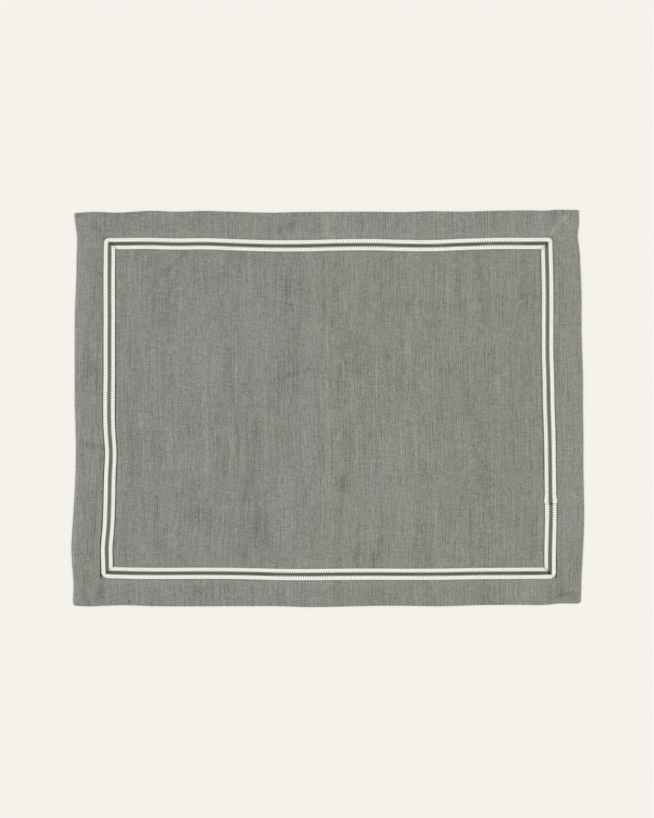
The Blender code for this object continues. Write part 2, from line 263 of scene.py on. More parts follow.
# Broad shifts of tone and tint, each about a line between two places, in mm.
# Columns: start X, start Y, end X, end Y, half width, tone (steps), warmth, and cast (rosy, or
# leafy where negative).
SHIFTS = (
    (60, 60, 175, 0, 60, 0.0, 0.05, -0.12),
    (20, 163, 190, 163, 13, 3.0, -0.12, -0.10),
    (-190, 163, 190, 163, 12, 0.0, 0.0, -0.35),
    (-210, -165, -210, 165, 13, 0.0, -0.03, -0.45),
    (10, -163, 215, -163, 12, 0.8, -0.07, 0.30),
    (150, -165, 215, -165, 10, 2.5, 0.0, 0.0),
    (210, 130, 210, -110, 10, 3.3, -0.05, -0.25),
    (-80, -20, -30, 60, 55, 0.0, 0.0, 0.15),
    (-180, -110, -180, 110, 18, 0.0, 0.0, -0.35),
    (-150, -105, -60, -115, 25, 0.0, 0.0, -0.25),
    (-208, 172, -208, 138, 9, 3.5, 0.0, 0.0),
    (-216, -150, -216, -96, 6, 4.0, 0.0, 0.0),
    (-2, 70, -2, 0, 11, 2.5, 0.0, 0.0),
    (30, -66, 30, -130, 14, -1.0, 0.0, 0.0),
    (221, -130, 221, -168, 6, -4.0, 0.0, 0.0),
    (-203, -35, -203, -150, 3.5, -4.0, 0.0, 0.0),
    (-75, -135, 190, -135, 4, 0.0, 0.26, 0.0),
    (-203, -170, -203, 130, 3.5, 0.0, 0.0, 0.55),
    (187, -140, 187, 130, 3, 0.0, 0.0, 0.35),
    (-211, 136, -211, 102, 4, 0.0, 0.25, 0.0),
    (-211, -28, -211, -68, 4, 0.0, 0.25, 0.0),
    (-211, -135, -211, -165, 4, 0.0, 0.20, 0.0),
    (45, -30, 45, -68, 12, 0.0, -0.20, 0.0),
    (142, 30, 142, -60, 20, 0.0, -0.12, 0.0),
    (-83, -35, -83, -95, 18, 0.0, 0.10, 0.0),
    (-69, 172, -69, 152, 8, 0.0, 0.18, 0.0),
    (101, 172, 101, 152, 8, 0.0, 0.10, 0.0),
    (158, 172, 158, 152, 8, 0.0, 0.13, 0.0),
    (-154, 172, -154, 152, 8, 0.0, -0.12, 0.0),
    (204, 138, 204, 118, 6, 0.0, 0.15, 0.0),
    (-154, 35, -154, 0, 10, 0.0, 0.0, -0.35),
    (208, -35, 220, -35, 10, 0.0, 0.0, -0.40),
    (-218, 172, -218, 145, 5, 3.0, 0.0, 0.0),
    (203, 160, 203, 145, 5, 3.0, 0.0, 0.0),
    (-13, 135, -13, 10, 8, 1.5, 0.0, 0.0),
    (-154, -137, 150, -137, 3, 2.0, 0.0, 0.0),
)

# Tones beside the folded edges and the tape's seams; the rows of the left and right sides are painted
# highlight, where the side light catches the rolled edge.
# Columns: side, distance in from the folded edge and half width in mm, tone (steps of brightness).
SEAM_TONES_AND_EDGE_HIGHLIGHTS = (
    ("left", -0.5, 2.6, 10.0),
    ("left", 4.0, 3.0, 4.0),
    ("right", -0.5, 2.2, 7.0),
    ("right", 3.5, 3.0, 3.0),
    ("near", -0.5, 1.4, 3.0),
    ("far", -0.5, 1.4, 3.0),
    ("far", 22.0, 3.0, 5.0),
    ("near", 22.0, 3.5, 4.0),
)

# How dark the painted shade is in the narrow gutters beside the tape, where its edges cast shadow, in steps
# of brightness.
# Columns: side, shade in the gutter at the tape's outer edge at the side's low end and at its high end,
# shade in the inner gutter.
PAINTED_GUTTER_SHADE = (
    ("left", 86.0, 8.0, 50.0),
    ("right", 58.0, 18.0, 31.0),
    ("near", 10.0, 10.0, 6.0),
    ("far", 11.0, 11.0, 10.0),
)


def smooth_step(share: Array) -> Array:
    """Ease a share from 0 to 1 with level ends, by 3s^2 - 2s^3."""
    share = np.clip(share, 0, 1)
    return share * share * (3 - 2 * share)


def by_corner(x: Array, y: Array, column: int) -> Array:
    """Read a column of the corners' table at each place, from the corner of the place's quarter."""
    value = np.full(np.broadcast(x, y).shape, float(CORNERS[0][column]))
    for row in CORNERS:
        value = np.where((x * row[0] >= 0) & (y * row[1] >= 0), row[column], value)
    return value


def bell(off: Array, half_width: float) -> Array:
    """Give exp(-(off / half_width)^2), which is 1 in the middle and falls off to both sides."""
    return np.exp(-((off / half_width) ** 2))


def near_line(x: Array, y: Array, start: tuple, end: tuple, half_width: float) -> Array:
    """Give a bell that is 1 on a straight line and falls off beside it and past its ends.

    The bell is exp(-(d / half_width)^2), with d the distance to the nearest point of the line.

    Args:
        x: straight places along the mat.
        y: straight places across the mat.
        start: the line's first end.
        end: the line's other end.
        half_width: how far from the line the bell has fallen to about a third.

    Returns:
        The bell's value at each place.
    """
    run = np.subtract(end, start)
    length = np.hypot(*run)
    along = ((x - start[0]) * run[0] + (y - start[1]) * run[1]) / length
    aside = ((y - start[1]) * run[0] - (x - start[0]) * run[1]) / length
    beyond = along - np.clip(along, 0, length)
    return np.exp(-(aside**2 + beyond**2) / half_width**2)


@dataclass(frozen=True)
class Rumple:
    """A random relief of soft swells, one height for each corner of a grid of cells, eased between."""

    cell_x: float
    cell_y: float
    height: float
    seed: int
    table_side: int = 211

    def at(self, x: Array, y: Array) -> Array:
        """Blend the four nearest corners' random heights with smooth steps along X and Y.

        Args:
            x: places along the mat.
            y: places across the mat.

        Returns:
            The relief at each place, between minus and plus the height.
        """
        table = np.random.default_rng(self.seed).uniform(-1, 1, (self.table_side, self.table_side))
        u, v = x / self.cell_x, y / self.cell_y
        i, j = np.floor(u).astype(int), np.floor(v).astype(int)
        share_u, share_v = smooth_step(u - i), smooth_step(v - j)
        i, j, i_next, j_next = (k % self.table_side for k in (i, j, i + 1, j + 1))
        low = table[i, j] * (1 - share_u) + table[i_next, j] * share_u
        high = table[i, j_next] * (1 - share_u) + table[i_next, j_next] * share_u
        return self.height * (low * (1 - share_v) + high * share_v)


@dataclass(frozen=True)
class LaidMat:
    """The mat's driving sizes, its outline as it lies, and the height of its face."""

    length: float = 450 * MM
    width: float = 350 * MM
    tape_inset: float = 25 * MM
    tape_width: float = 10 * MM
    middle_thickness: float = 1.1 * MM
    hem_thickness: float = 1.7 * MM
    hem_depth: float = 35 * MM
    hem_ramp: float = 4 * MM
    seam_dip: float = 0.16 * MM
    seam_reach: float = 1.8 * MM
    pucker_reach: float = 7 * MM
    swells: tuple[Rumple, ...] = (
        Rumple(34 * MM, 41 * MM, 0.16 * MM, 11),
        Rumple(13 * MM, 17 * MM, 0.07 * MM, 12),
        Rumple(5.3 * MM, 8.1 * MM, 0.03 * MM, 13),
    )
    puckers: tuple[Rumple, Rumple] = (
        Rumple(5.2 * MM, 60 * MM, 0.10 * MM, 14),
        Rumple(60 * MM, 5.2 * MM, 0.10 * MM, 15),
    )
    pillow: float = 0.12 * MM

    def shift_along(self, side: tuple, column: int, place: Array) -> Array:
        """Read a column of a side's table, on a cubic curve through its rows.

        Between two rows the curve is the cubic with the rows' values and their mean slopes.

        Args:
            side: the side's table, in mm.
            column: 1 for the folded edge, 2 for the tape.
            place: places along the side.

        Returns:
            The shift outwards at each place.
        """
        rows = np.array(side) * MM
        knots, values = rows[:, 0], rows[:, column]
        slopes = np.gradient(values, knots)
        place = np.clip(place, knots[0], knots[-1])
        i = np.clip(np.searchsorted(knots, place) - 1, 0, len(knots) - 2)
        step = knots[i + 1] - knots[i]
        t = (place - knots[i]) / step
        start = (1 + 2 * t) * (1 - t) ** 2 * values[i] + t * (1 - t) ** 2 * step * slopes[i]
        end = t**2 * (3 - 2 * t) * values[i + 1] - t**2 * (1 - t) * step * slopes[i + 1]
        return start + end

    def shift_across(self, place: Array, along: Array, half: float, low: tuple, high: tuple) -> Array:
        """Shift places along one axis by the tables of the two sides that bound it.

        The shift is the tape's own between the two tapes, sharing both evenly, and runs evenly from the
        tape's to the folded edge's in the border.

        Args:
            place: straight places along the shifted axis.
            along: straight places along the two sides.
            half: half the mat's size along the shifted axis.
            low: the table of the side at the axis's low end.
            high: the table of the side at its high end.

        Returns:
            The shift along the axis at each place.
        """
        tape = half - self.tape_inset
        edge_low, tape_low = (-self.shift_along(low, column, along) for column in (1, 2))
        edge_high, tape_high = (self.shift_along(high, column, along) for column in (1, 2))
        inner = tape_low + (tape_high - tape_low) * (np.clip(place, -tape, tape) + tape) / (2 * tape)
        outer_share = np.clip((np.abs(place) - tape) / self.tape_inset, 0, 1)
        return inner + (np.where(place > 0, edge_high, edge_low) - inner) * outer_share

    def as_laid(self, x: Array, y: Array) -> tuple[Array, Array]:
        """Move straight places to where they lie, around the middle of the mat's box.

        Corners are first drawn in from squares to quarter circles, by max(u, v) / hypot(u, v).
        """
        x, y = self.loose_as_laid(x, y)
        middle_x, middle_y = self.middle()
        return x - middle_x, y - middle_y

    def loose_as_laid(self, x: Array, y: Array) -> tuple[Array, Array]:
        """Move straight places to where they lie, before the mat's box is centred."""
        radius = by_corner(x, y, 2) * MM
        u = (np.abs(x) - self.length / 2) / radius + 1
        v = (np.abs(y) - self.width / 2) / radius + 1
        inside = (u > 0) & (v > 0)
        u, v = np.where(inside, u, 1), np.where(inside, v, 1)
        draw = np.where(inside, 1 - np.maximum(u, v) / np.hypot(u, v), 0) * radius
        x, y = x - np.sign(x) * u * draw, y - np.sign(y) * v * draw
        across = self.shift_across(x, y, self.length / 2, LEFT_SIDE, RIGHT_SIDE)
        upward = self.shift_across(y, x, self.width / 2, NEAR_SIDE, FAR_SIDE)
        return x + across, y + upward

    def middle(self) -> tuple[float, float]:
        """Find the middle of the box around the laid outline."""
        along = np.linspace(-self.length / 2, self.length / 2, 901)
        aside = np.linspace(-self.width / 2, self.width / 2, 701)
        left = self.loose_as_laid(np.full_like(aside, -self.length / 2), aside)[0]
        right = self.loose_as_laid(np.full_like(aside, self.length / 2), aside)[0]
        near = self.loose_as_laid(along, np.full_like(along, -self.width / 2))[1]
        far = self.loose_as_laid(along, np.full_like(along, self.width / 2))[1]
        return (left.min() + right.max()) / 2, (near.min() + far.max()) / 2

    def from_edge(self, x: Array, y: Array) -> Array:
        """Give the distance to the straight mat's nearest side."""
        return np.minimum(self.length / 2 - np.abs(x), self.width / 2 - np.abs(y))

    def top(self, x: Array, y: Array) -> Array:
        """Give the height of the cloth's face above the table.

        It is the thickness, eased down past the hem, plus the creases, the random swells, a dip along
        both edges of the tape where the sewing pulls the cloth down, and puckers that run off the tape.

        Args:
            x: straight places along the mat.
            y: straight places across the mat.

        Returns:
            The height at each place.
        """
        inset = self.from_edge(x, y)
        hem = smooth_step((self.hem_depth + self.hem_ramp - inset) / self.hem_ramp)
        height = self.middle_thickness + (self.hem_thickness - self.middle_thickness) * hem
        for start_x, start_y, end_x, end_y, rise, half_width in np.array(CREASES) * MM:
            height += rise * near_line(x, y, (start_x, start_y), (end_x, end_y), half_width)
        for swell in self.swells:
            height += swell.at(x, y)
        off_tape = np.abs(inset - self.tape_inset - self.tape_width / 2) - self.tape_width / 2
        height -= self.seam_dip * bell(off_tape, self.seam_reach)
        beside_long = self.width / 2 - np.abs(y) < self.length / 2 - np.abs(x)
        pucker = np.where(beside_long, self.puckers[0].at(x, y), self.puckers[1].at(x, y))
        height += pucker * bell(off_tape, self.pucker_reach)
        border_middle = self.tape_inset / 2
        height += self.pillow * np.exp(-(((inset - border_middle) / border_middle) ** 2) * 2)
        return height


def new_mesh(name: str, points: Array, faces: list[Array]) -> bpy.types.Mesh:
    """Make a mesh from points and from arrays of faces, one array for each count of corners."""
    mesh = bpy.data.meshes.new(name)
    corners = np.concatenate([part.ravel() for part in faces]).astype(np.int32)
    counts = np.concatenate([np.full(len(part), part.shape[1]) for part in faces])
    starts = np.concatenate([[0], np.cumsum(counts)[:-1]]).astype(np.int32)
    mesh.vertices.add(len(points))
    mesh.vertices.foreach_set("co", points.astype(np.float32).ravel())
    mesh.loops.add(len(corners))
    mesh.loops.foreach_set("vertex_index", corners)
    mesh.polygons.add(len(counts))
    mesh.polygons.foreach_set("loop_start", starts)
    mesh.polygons.foreach_set("use_smooth", np.ones(len(counts), dtype=bool))
    mesh.update(calc_edges=True)
    mesh.validate()
    return mesh


def add_number(mesh: bpy.types.Mesh, name: str, values: Array) -> None:
    """Keep one number for each point of a mesh under a name that its material reads."""
    mesh.attributes.new(name, "FLOAT", "POINT").data.foreach_set("value", values.astype(np.float32))


def add_places(mesh: bpy.types.Mesh, name: str, columns: list[Array]) -> None:
    """Keep three numbers for each point of a mesh under a name that its material reads."""
    flat = np.column_stack(columns).astype(np.float32).ravel()
    mesh.attributes.new(name, "FLOAT_VECTOR", "POINT").data.foreach_set("vector", flat)


def add_bake_map(mesh: bpy.types.Mesh, corners_uv: Array) -> None:
    """Lay the mesh's face corners out on a square, for the pictures of its finish."""
    mesh.uv_layers.new(name="OFBake").data.foreach_set("uv", corners_uv.astype(np.float32).ravel())


def link_piece(name: str, mesh: bpy.types.Mesh, material: bpy.types.Material) -> bpy.types.Object:
    """Add a mesh to the scene as one piece in one material."""
    mesh.materials.append(material)
    piece = bpy.data.objects.new(name, mesh)
    bpy.context.scene.collection.objects.link(piece)
    return piece


@dataclass(frozen=True)
class Cloud:
    """One stretched mottle: its sizes in mm, a shift that sets it apart, and its weight in a sum."""

    size_x: float
    size_y: float
    shift: float
    weight: float = 1.0


class Wiring:
    """Adds nodes to one tree and joins them, so that a finish reads as a list of steps."""

    def __init__(self, tree: bpy.types.NodeTree, mottle: bpy.types.NodeTree | None = None) -> None:
        """Keep the tree that the nodes go into, and the group that makes a stretched mottle."""
        self.tree = tree
        self.mottle = mottle

    def put(self, socket: Socket, entry: Entry) -> None:
        """Join an output to a socket, or set the socket to a constant."""
        if isinstance(entry, bpy.types.NodeSocket):
            self.tree.links.new(entry, socket)
        else:
            socket.default_value = entry

    def fill(self, node: bpy.types.Node, entries: dict) -> bpy.types.Node:
        """Put entries into a node's inputs, by their name or number."""
        for name, entry in entries.items():
            self.put(node.inputs[name], entry)
        return node

    def node(self, kind: str, entries: dict | None = None, **settings: object) -> bpy.types.Node:
        """Add a node.

        Args:
            kind: Blender's name of the node type, without "ShaderNode".
            entries: what goes into its inputs, by their name or number.
            settings: the node's own settings.

        Returns:
            The node.
        """
        made = self.tree.nodes.new("ShaderNode" + kind)
        for name, setting in settings.items():
            setattr(made, name, setting)
        return self.fill(made, entries or {})

    def math(self, operation: str, first: Entry, second: Entry = 0.0, third: Entry = 0.0) -> Socket:
        """Add one operation on up to three numbers."""
        return self.node("Math", {0: first, 1: second, 2: third}, operation=operation).outputs[0]

    def times(self, first: Entry, second: Entry) -> Socket:
        """Multiply two numbers."""
        return self.math("MULTIPLY", first, second)

    def minus(self, first: Entry, second: Entry) -> Socket:
        """Subtract the second number from the first."""
        return self.math("SUBTRACT", first, second)

    def size(self, entry: Entry) -> Socket:
        """Drop a number's sign."""
        return self.math("ABSOLUTE", entry)

    def clamped(self, entry: Entry, low: float, high: float) -> Socket:
        """Keep a number within a range."""
        return self.math("MINIMUM", self.math("MAXIMUM", entry, low), high)

    def wave(self, operation: str, place: Entry, pitch: float) -> Socket:
        """Add a sine or cosine along a place."""
        return self.math(operation, self.times(place, 2 * np.pi / pitch))

    def total(self, *terms: Entry) -> Socket:
        """Add up several numbers, each alone or in a pair with its weight."""
        result, *others = [self.times(*term) if isinstance(term, tuple) else term for term in terms]
        for number in others:
            result = self.math("ADD", result, number)
        return result

    def between(
        self, entry: Entry, low: float, high: float, to_low: float = 0.0, to_high: float = 1.0
    ) -> Socket:
        """Ease a number from one range to another with smooth ends."""
        names = {"Value": entry, "From Min": low, "From Max": high, "To Min": to_low, "To Max": to_high}
        return self.node("MapRange", names, interpolation_type="SMOOTHSTEP").outputs[0]

    def mixed(self, share: Entry, first: Entry, second: Entry) -> Socket:
        """Mix two colours."""
        return self.node("Mix", {0: share, 6: first, 7: second}, data_type="RGBA").outputs[2]

    def dimmed(self, colour: Entry, factor: Entry) -> Socket:
        """Multiply a colour or a place by a number."""
        return self.node("VectorMath", {0: colour, "Scale": factor}, operation="SCALE").outputs[0]

    def vector(self, operation: str, first: Entry, second: Entry) -> Socket:
        """Add one operation on two places or colours."""
        return self.node("VectorMath", {0: first, 1: second}, operation=operation).outputs[0]

    def joined(self, x: Entry, y: Entry, z: Entry = 0.0) -> Socket:
        """Join three numbers into a place."""
        return self.node("CombineXYZ", {0: x, 1: y, 2: z}).outputs[0]

    def parts(self, place: Entry) -> tuple[Socket, Socket, Socket]:
        """Split a place into its three numbers."""
        return tuple(self.node("SeparateXYZ", {0: place}).outputs)

    def kept(self, name: str, output: str = "Fac") -> Socket:
        """Read what a piece's mesh keeps under a name."""
        return self.node("Attribute", attribute_name=name, attribute_type="GEOMETRY").outputs[output]

    def place_mm(self) -> Socket:
        """Give the place on the piece, in mm."""
        return self.dimmed(self.node("TexCoord").outputs["Object"], 1 / MM)

    def cloud(self, cloud: Cloud, place: Socket) -> Socket:
        """Add a cloud's mottle, from about -1 to 1, without its weight."""
        entries = {"Place": place, "Size X": cloud.size_x, "Size Y": cloud.size_y, "Shift": cloud.shift}
        return self.node("Group", entries, node_tree=self.mottle).outputs[0]

    def clouds(self, clouds: tuple[Cloud, ...], place: Socket) -> list[tuple[Socket, float]]:
        """Add several mottles, each in a pair with its weight."""
        return [(self.cloud(cloud, place), cloud.weight) for cloud in clouds]

    def bump(self, shader: bpy.types.Node, height: Socket, strength: float, distance: float) -> None:
        """Give a shader a fine relief."""
        made = self.node("Bump", {"Height": height, "Strength": strength, "Distance": distance})
        self.put(shader.inputs["Normal"], made.outputs[0])


def new_group(
    name: str, inputs: dict[str, str], outputs: tuple[str, ...]
) -> tuple[Wiring, bpy.types.Node, bpy.types.Node]:
    """Start a group of nodes.

    Args:
        name: the group's name.
        inputs: the kind of each input, by its name.
        outputs: the names of its outputs, which are numbers.

    Returns:
        The wiring of the group's tree, and its input and output nodes.
    """
    tree = bpy.data.node_groups.new(name, "ShaderNodeTree")
    for entries, direction in ((inputs, "INPUT"), (dict.fromkeys(outputs, "Float"), "OUTPUT")):
        for socket, kind in entries.items():
            tree.interface.new_socket(socket, in_out=direction, socket_type="NodeSocket" + kind)
    return Wiring(tree), tree.nodes.new("NodeGroupInput"), tree.nodes.new("NodeGroupOutput")


def mottle_group() -> bpy.types.NodeTree:
    """Build a mottle that is stretched along X and Y by its own sizes, from about -1 to 1."""
    inputs = {"Place": "Vector", "Size X": "Float", "Size Y": "Float", "Shift": "Float"}
    wire, start, end = new_group("Mottle", inputs, ("Value",))
    x, y, z = wire.parts(start.outputs["Place"])
    u = wire.math("DIVIDE", x, start.outputs["Size X"])
    v = wire.math("DIVIDE", y, start.outputs["Size Y"])
    place = wire.joined(u, v, wire.math("ADD", z, start.outputs["Shift"]))
    noise = wire.node("TexNoise", {"Vector": place, "Scale": 1.0, "Detail": 1.5, "Roughness": 0.5})
    wire.put(end.inputs["Value"], wire.math("MULTIPLY_ADD", noise.outputs[0], *NOISE_SPREAD))
    return wire.tree


def weave_group() -> bpy.types.NodeTree:
    """Build a plain weave: every other crossing shows the yarn along Y, and the rest the one along X.

    Each yarn has its own tone, which drifts along it. The height is a small pillow at each crossing.
    """
    inputs = {"Place": "Vector", "Pitch X": "Float", "Pitch Y": "Float", "Drift": "Float"}
    wire, start, end = new_group("Plain weave", inputs, ("Tone", "Height"))
    x, y, z = wire.parts(start.outputs["Place"])
    drift = start.outputs["Drift"]
    pitches = (start.outputs["Pitch X"], start.outputs["Pitch Y"])
    yarns = [wire.math("DIVIDE", *pair) for pair in zip((x, y), pitches)]
    end_number, pick_number = (wire.math("FLOOR", yarn) for yarn in yarns)
    spread, apart = 7.31, 9.0
    end_place = wire.joined(wire.times(end_number, spread), wire.math("DIVIDE", y, drift), z)
    pick_place = wire.joined(wire.math("DIVIDE", x, drift), wire.times(pick_number, spread), apart)
    noise = {"Scale": 1.0, "Detail": 1.0, "Roughness": 0.6}
    places = (end_place, pick_place)
    tones = [wire.node("TexNoise", {"Vector": place, **noise}).outputs[0] for place in places]
    odd = wire.math("MODULO", wire.size(wire.math("ADD", end_number, pick_number)), 2.0)
    tone = wire.node("Mix", {0: odd, 2: tones[0], 3: tones[1]}, data_type="FLOAT").outputs[0]
    wire.put(end.inputs["Tone"], wire.math("MULTIPLY_ADD", tone, *NOISE_SPREAD))
    pillows = [wire.math("SINE", wire.times(wire.math("FRACT", yarn), np.pi)) for yarn in yarns]
    wire.put(end.inputs["Height"], wire.times(*pillows))
    return wire.tree


def new_material(
    name: str, mottle: bpy.types.NodeTree | None = None
) -> tuple[bpy.types.Material, Wiring, bpy.types.Node]:
    """Start a material, and give its wiring and its Principled shader."""
    material = bpy.data.materials.new(name)
    material.use_nodes = True
    tree = material.node_tree
    return material, Wiring(tree, mottle), tree.nodes["Principled BSDF"]


@dataclass(frozen=True)
class SlubbyWeave:
    """The cloth's finish: a matt grey-green plain weave of uneven yarns."""

    cool: tuple = (0.2285, 0.2322, 0.2200, 1.0)
    warm: tuple = (0.2428, 0.2502, 0.1960, 1.0)
    rosy: tuple = (1.016, 0.996, 0.995, 1.0)
    leafy: tuple = (0.984, 1.004, 1.005, 1.0)
    end_pitch_mm: float = 0.66
    pick_pitch_mm: float = 0.71
    drift_mm: float = 14.0
    bar_pitch_mm: float = 2.1
    rib_pitch_mm: float = 1.98
    wander: tuple = (Cloud(6.0, 40.0, 3.0, 0.35), Cloud(40.0, 6.0, 5.0, 0.35))
    streak: Cloud = Cloud(0.75, 70.0, 11.0, 13.0)
    slub: Cloud = Cloud(0.75, 14.0, 17.0, 10.5)
    short_slub: Cloud = Cloud(0.75, 5.0, 19.0, 5.0)
    pick_slub: Cloud = Cloud(12.0, 0.8, 29.0, 7.0)
    grain: Cloud = Cloud(0.5, 1.4, 31.0, 24.0)
    bar_patch: Cloud = Cloud(7.0, 13.0, 67.0, 12.0)
    bar_patch_range: tuple = (0.7, 2.0)
    rib_patch: Cloud = Cloud(4.0, 26.0, 71.0, 13.0)
    swaths: tuple = (Cloud(13.0, 160.0, 23.0, 4.2), Cloud(32.0, 45.0, 37.0, 3.0))
    warm_clouds: tuple = (
        Cloud(38.0, 60.0, 43.0, 0.09),
        Cloud(9.0, 14.0, 47.0, 0.11),
        Cloud(1.2, 30.0, 53.0, 0.10),
    )
    cast_clouds: tuple = (Cloud(11.0, 17.0, 59.0, 0.40), Cloud(1.1, 1.4, 61.0, 0.22))
    yarn_tone: float = 5.0
    gap_shade: float = 9.0
    tone_rise: float = 7.2
    warmth_middle: float = 0.515
    warmth_per_step: float = -0.008
    cast_middle: float = 0.45
    cast_range: tuple = (-0.1, 1.1)
    gutter_shade_off_mm: float = 0.50
    gutter_shade_half_mm: float = 0.55
    mitre_fade_mm: tuple = (0.15, 0.7)
    mitre_depth: float = 0.25
    step: float = 0.0165
    relief: tuple = (0.14, 0.05, 0.05, 0.04, 0.04, -0.6)
    roughness: tuple = (0.86, 0.98)

    def build(self, mottle: bpy.types.NodeTree, weave: bpy.types.NodeTree) -> bpy.types.Material:
        """Make the material.

        The tone is the sum, in steps of brightness, of the yarns' own, of long streaks along the warp,
        of short slubs along the weft, of fine grain, of broad clouds, of the marks kept on the mesh, which
        include painted shade and highlight, and of painted shade between the yarns and beside the tape.

        Args:
            mottle: the group that makes a stretched mottle.
            weave: the group that makes the plain weave.

        Returns:
            The material.
        """
        material, wire, shader = new_material("cloth_weave", mottle)
        straight = wire.kept("straight_mm", "Vector")
        wander = wire.joined(*(wire.times(*pair) for pair in wire.clouds(self.wander, straight)))
        yarn_place = wire.vector("ADD", straight, wander)
        sizes = {"Pitch X": self.end_pitch_mm, "Pitch Y": self.pick_pitch_mm, "Drift": self.drift_mm}
        yarns = wire.node("Group", {"Place": yarn_place, **sizes}, node_tree=weave).outputs
        x, y, z = wire.parts(yarn_place)
        end_place = wire.joined(wire.math("SNAP", x, self.end_pitch_mm), y, z)
        pick_place = wire.joined(x, wire.math("SNAP", y, self.pick_pitch_mm), z)
        streak, slub, short_slub, grain = wire.clouds(
            (self.streak, self.slub, self.short_slub, self.grain), end_place
        )
        pick_slub = (wire.cloud(self.pick_slub, pick_place), self.pick_slub.weight)
        bar_patch = wire.cloud(self.bar_patch, straight)
        (rib_patch,) = wire.clouds((self.rib_patch,), straight)
        steps = wire.total(
            (yarns["Tone"], self.yarn_tone),
            streak,
            slub,
            short_slub,
            pick_slub,
            grain,
            (
                wire.wave("SINE", y, self.bar_pitch_mm),
                wire.between(bar_patch, *self.bar_patch_range, 0.0, self.bar_patch.weight),
            ),
            (wire.wave("SINE", x, self.rib_pitch_mm), wire.times(*rib_patch)),
            *wire.clouds(self.swaths, straight),
            wire.kept("tone"),
            # painted shade in the gaps between the yarns' pillows
            (wire.minus(1.0, yarns["Height"]), -self.gap_shade),
            # painted shade in narrow bells beside the tape's edges
            self.painted_gutter_shade(wire, straight),
            self.tone_rise,
        )
        brightness = wire.math("MULTIPLY_ADD", steps, self.step, 1.0)
        warmth = wire.total(
            self.warmth_middle,
            *wire.clouds(self.warm_clouds, straight),
            (steps, self.warmth_per_step),
            wire.kept("warmth"),
        )
        fibre = wire.mixed(wire.clamped(warmth, 0.0, 1.0), self.cool, self.warm)
        cast = wire.total(self.cast_middle, *wire.clouds(self.cast_clouds, straight), wire.kept("cast"))
        bloom = wire.mixed(wire.between(cast, *self.cast_range), self.leafy, self.rosy)
        seam = self.hem_mitre(wire, straight)
        colour = wire.dimmed(wire.vector("MULTIPLY", fibre, bloom), wire.minus(brightness, seam))
        layers = (yarns["Height"], streak[0], slub[0], pick_slub[0], grain[0], seam)
        wire.bump(shader, wire.total(*zip(layers, self.relief)), 0.8, 1.0 * MM)
        entries = {
            "Base Color": colour,
            "Roughness": wire.between(grain[0], -1.5, 1.5, *self.roughness),
            "Sheen Weight": 0.10,
            "Sheen Roughness": 0.6,
            "Specular IOR Level": 0.25,
        }
        wire.fill(shader, entries)
        return material

    def past(self, wire: Wiring, straight: Socket, inset: float) -> tuple[Socket, Socket]:
        """Give how far a place is out past the lines at an inset from the sides, in mm, on each axis."""
        mat = LaidMat()
        halves = (mat.length / 2 - inset, mat.width / 2 - inset)
        sizes = [wire.size(part) for part in wire.parts(straight)[:2]]
        return tuple(wire.minus(size, half / MM) for size, half in zip(sizes, halves))

    def painted_gutter_shade(self, wire: Wiring, straight: Socket) -> Socket:
        """Paint shade on the cloth in a narrow bell beside each edge of the tape, where the tape casts
        shadow.
        """
        inset = wire.times(wire.math("MAXIMUM", *self.past(wire, straight, 0.0)), -1.0)
        outer_edge = LaidMat.tape_inset / MM
        inner_edge = outer_edge + LaidMat.tape_width / MM
        places = {
            "outer_gutter_shade": outer_edge - self.gutter_shade_off_mm,
            "inner_gutter_shade": inner_edge + self.gutter_shade_off_mm,
        }
        depths = []
        for name, place in places.items():
            off = wire.times(wire.minus(inset, place), 1 / self.gutter_shade_half_mm)
            bell = wire.math("EXPONENT", wire.times(wire.times(off, off), -1.0))
            depths.append((wire.kept(name), bell))
        return wire.times(wire.total(*depths), -1.0)

    def hem_mitre(self, wire: Wiring, straight: Socket) -> Socket:
        """Mask the folded joins across the hem's corners, which show only on the mat's back."""
        past_x, past_y = self.past(wire, straight, LaidMat.hem_depth)
        on_line = wire.between(wire.size(wire.minus(past_x, past_y)), *self.mitre_fade_mm, 1.0, 0.0)
        in_corner = wire.math("GREATER_THAN", wire.math("MINIMUM", past_x, past_y), 0.0)
        on_back = wire.math("LESS_THAN", wire.parts(straight)[2], 0.5)
        return wire.times(wire.times(wire.times(on_line, in_corner), on_back), self.mitre_depth)


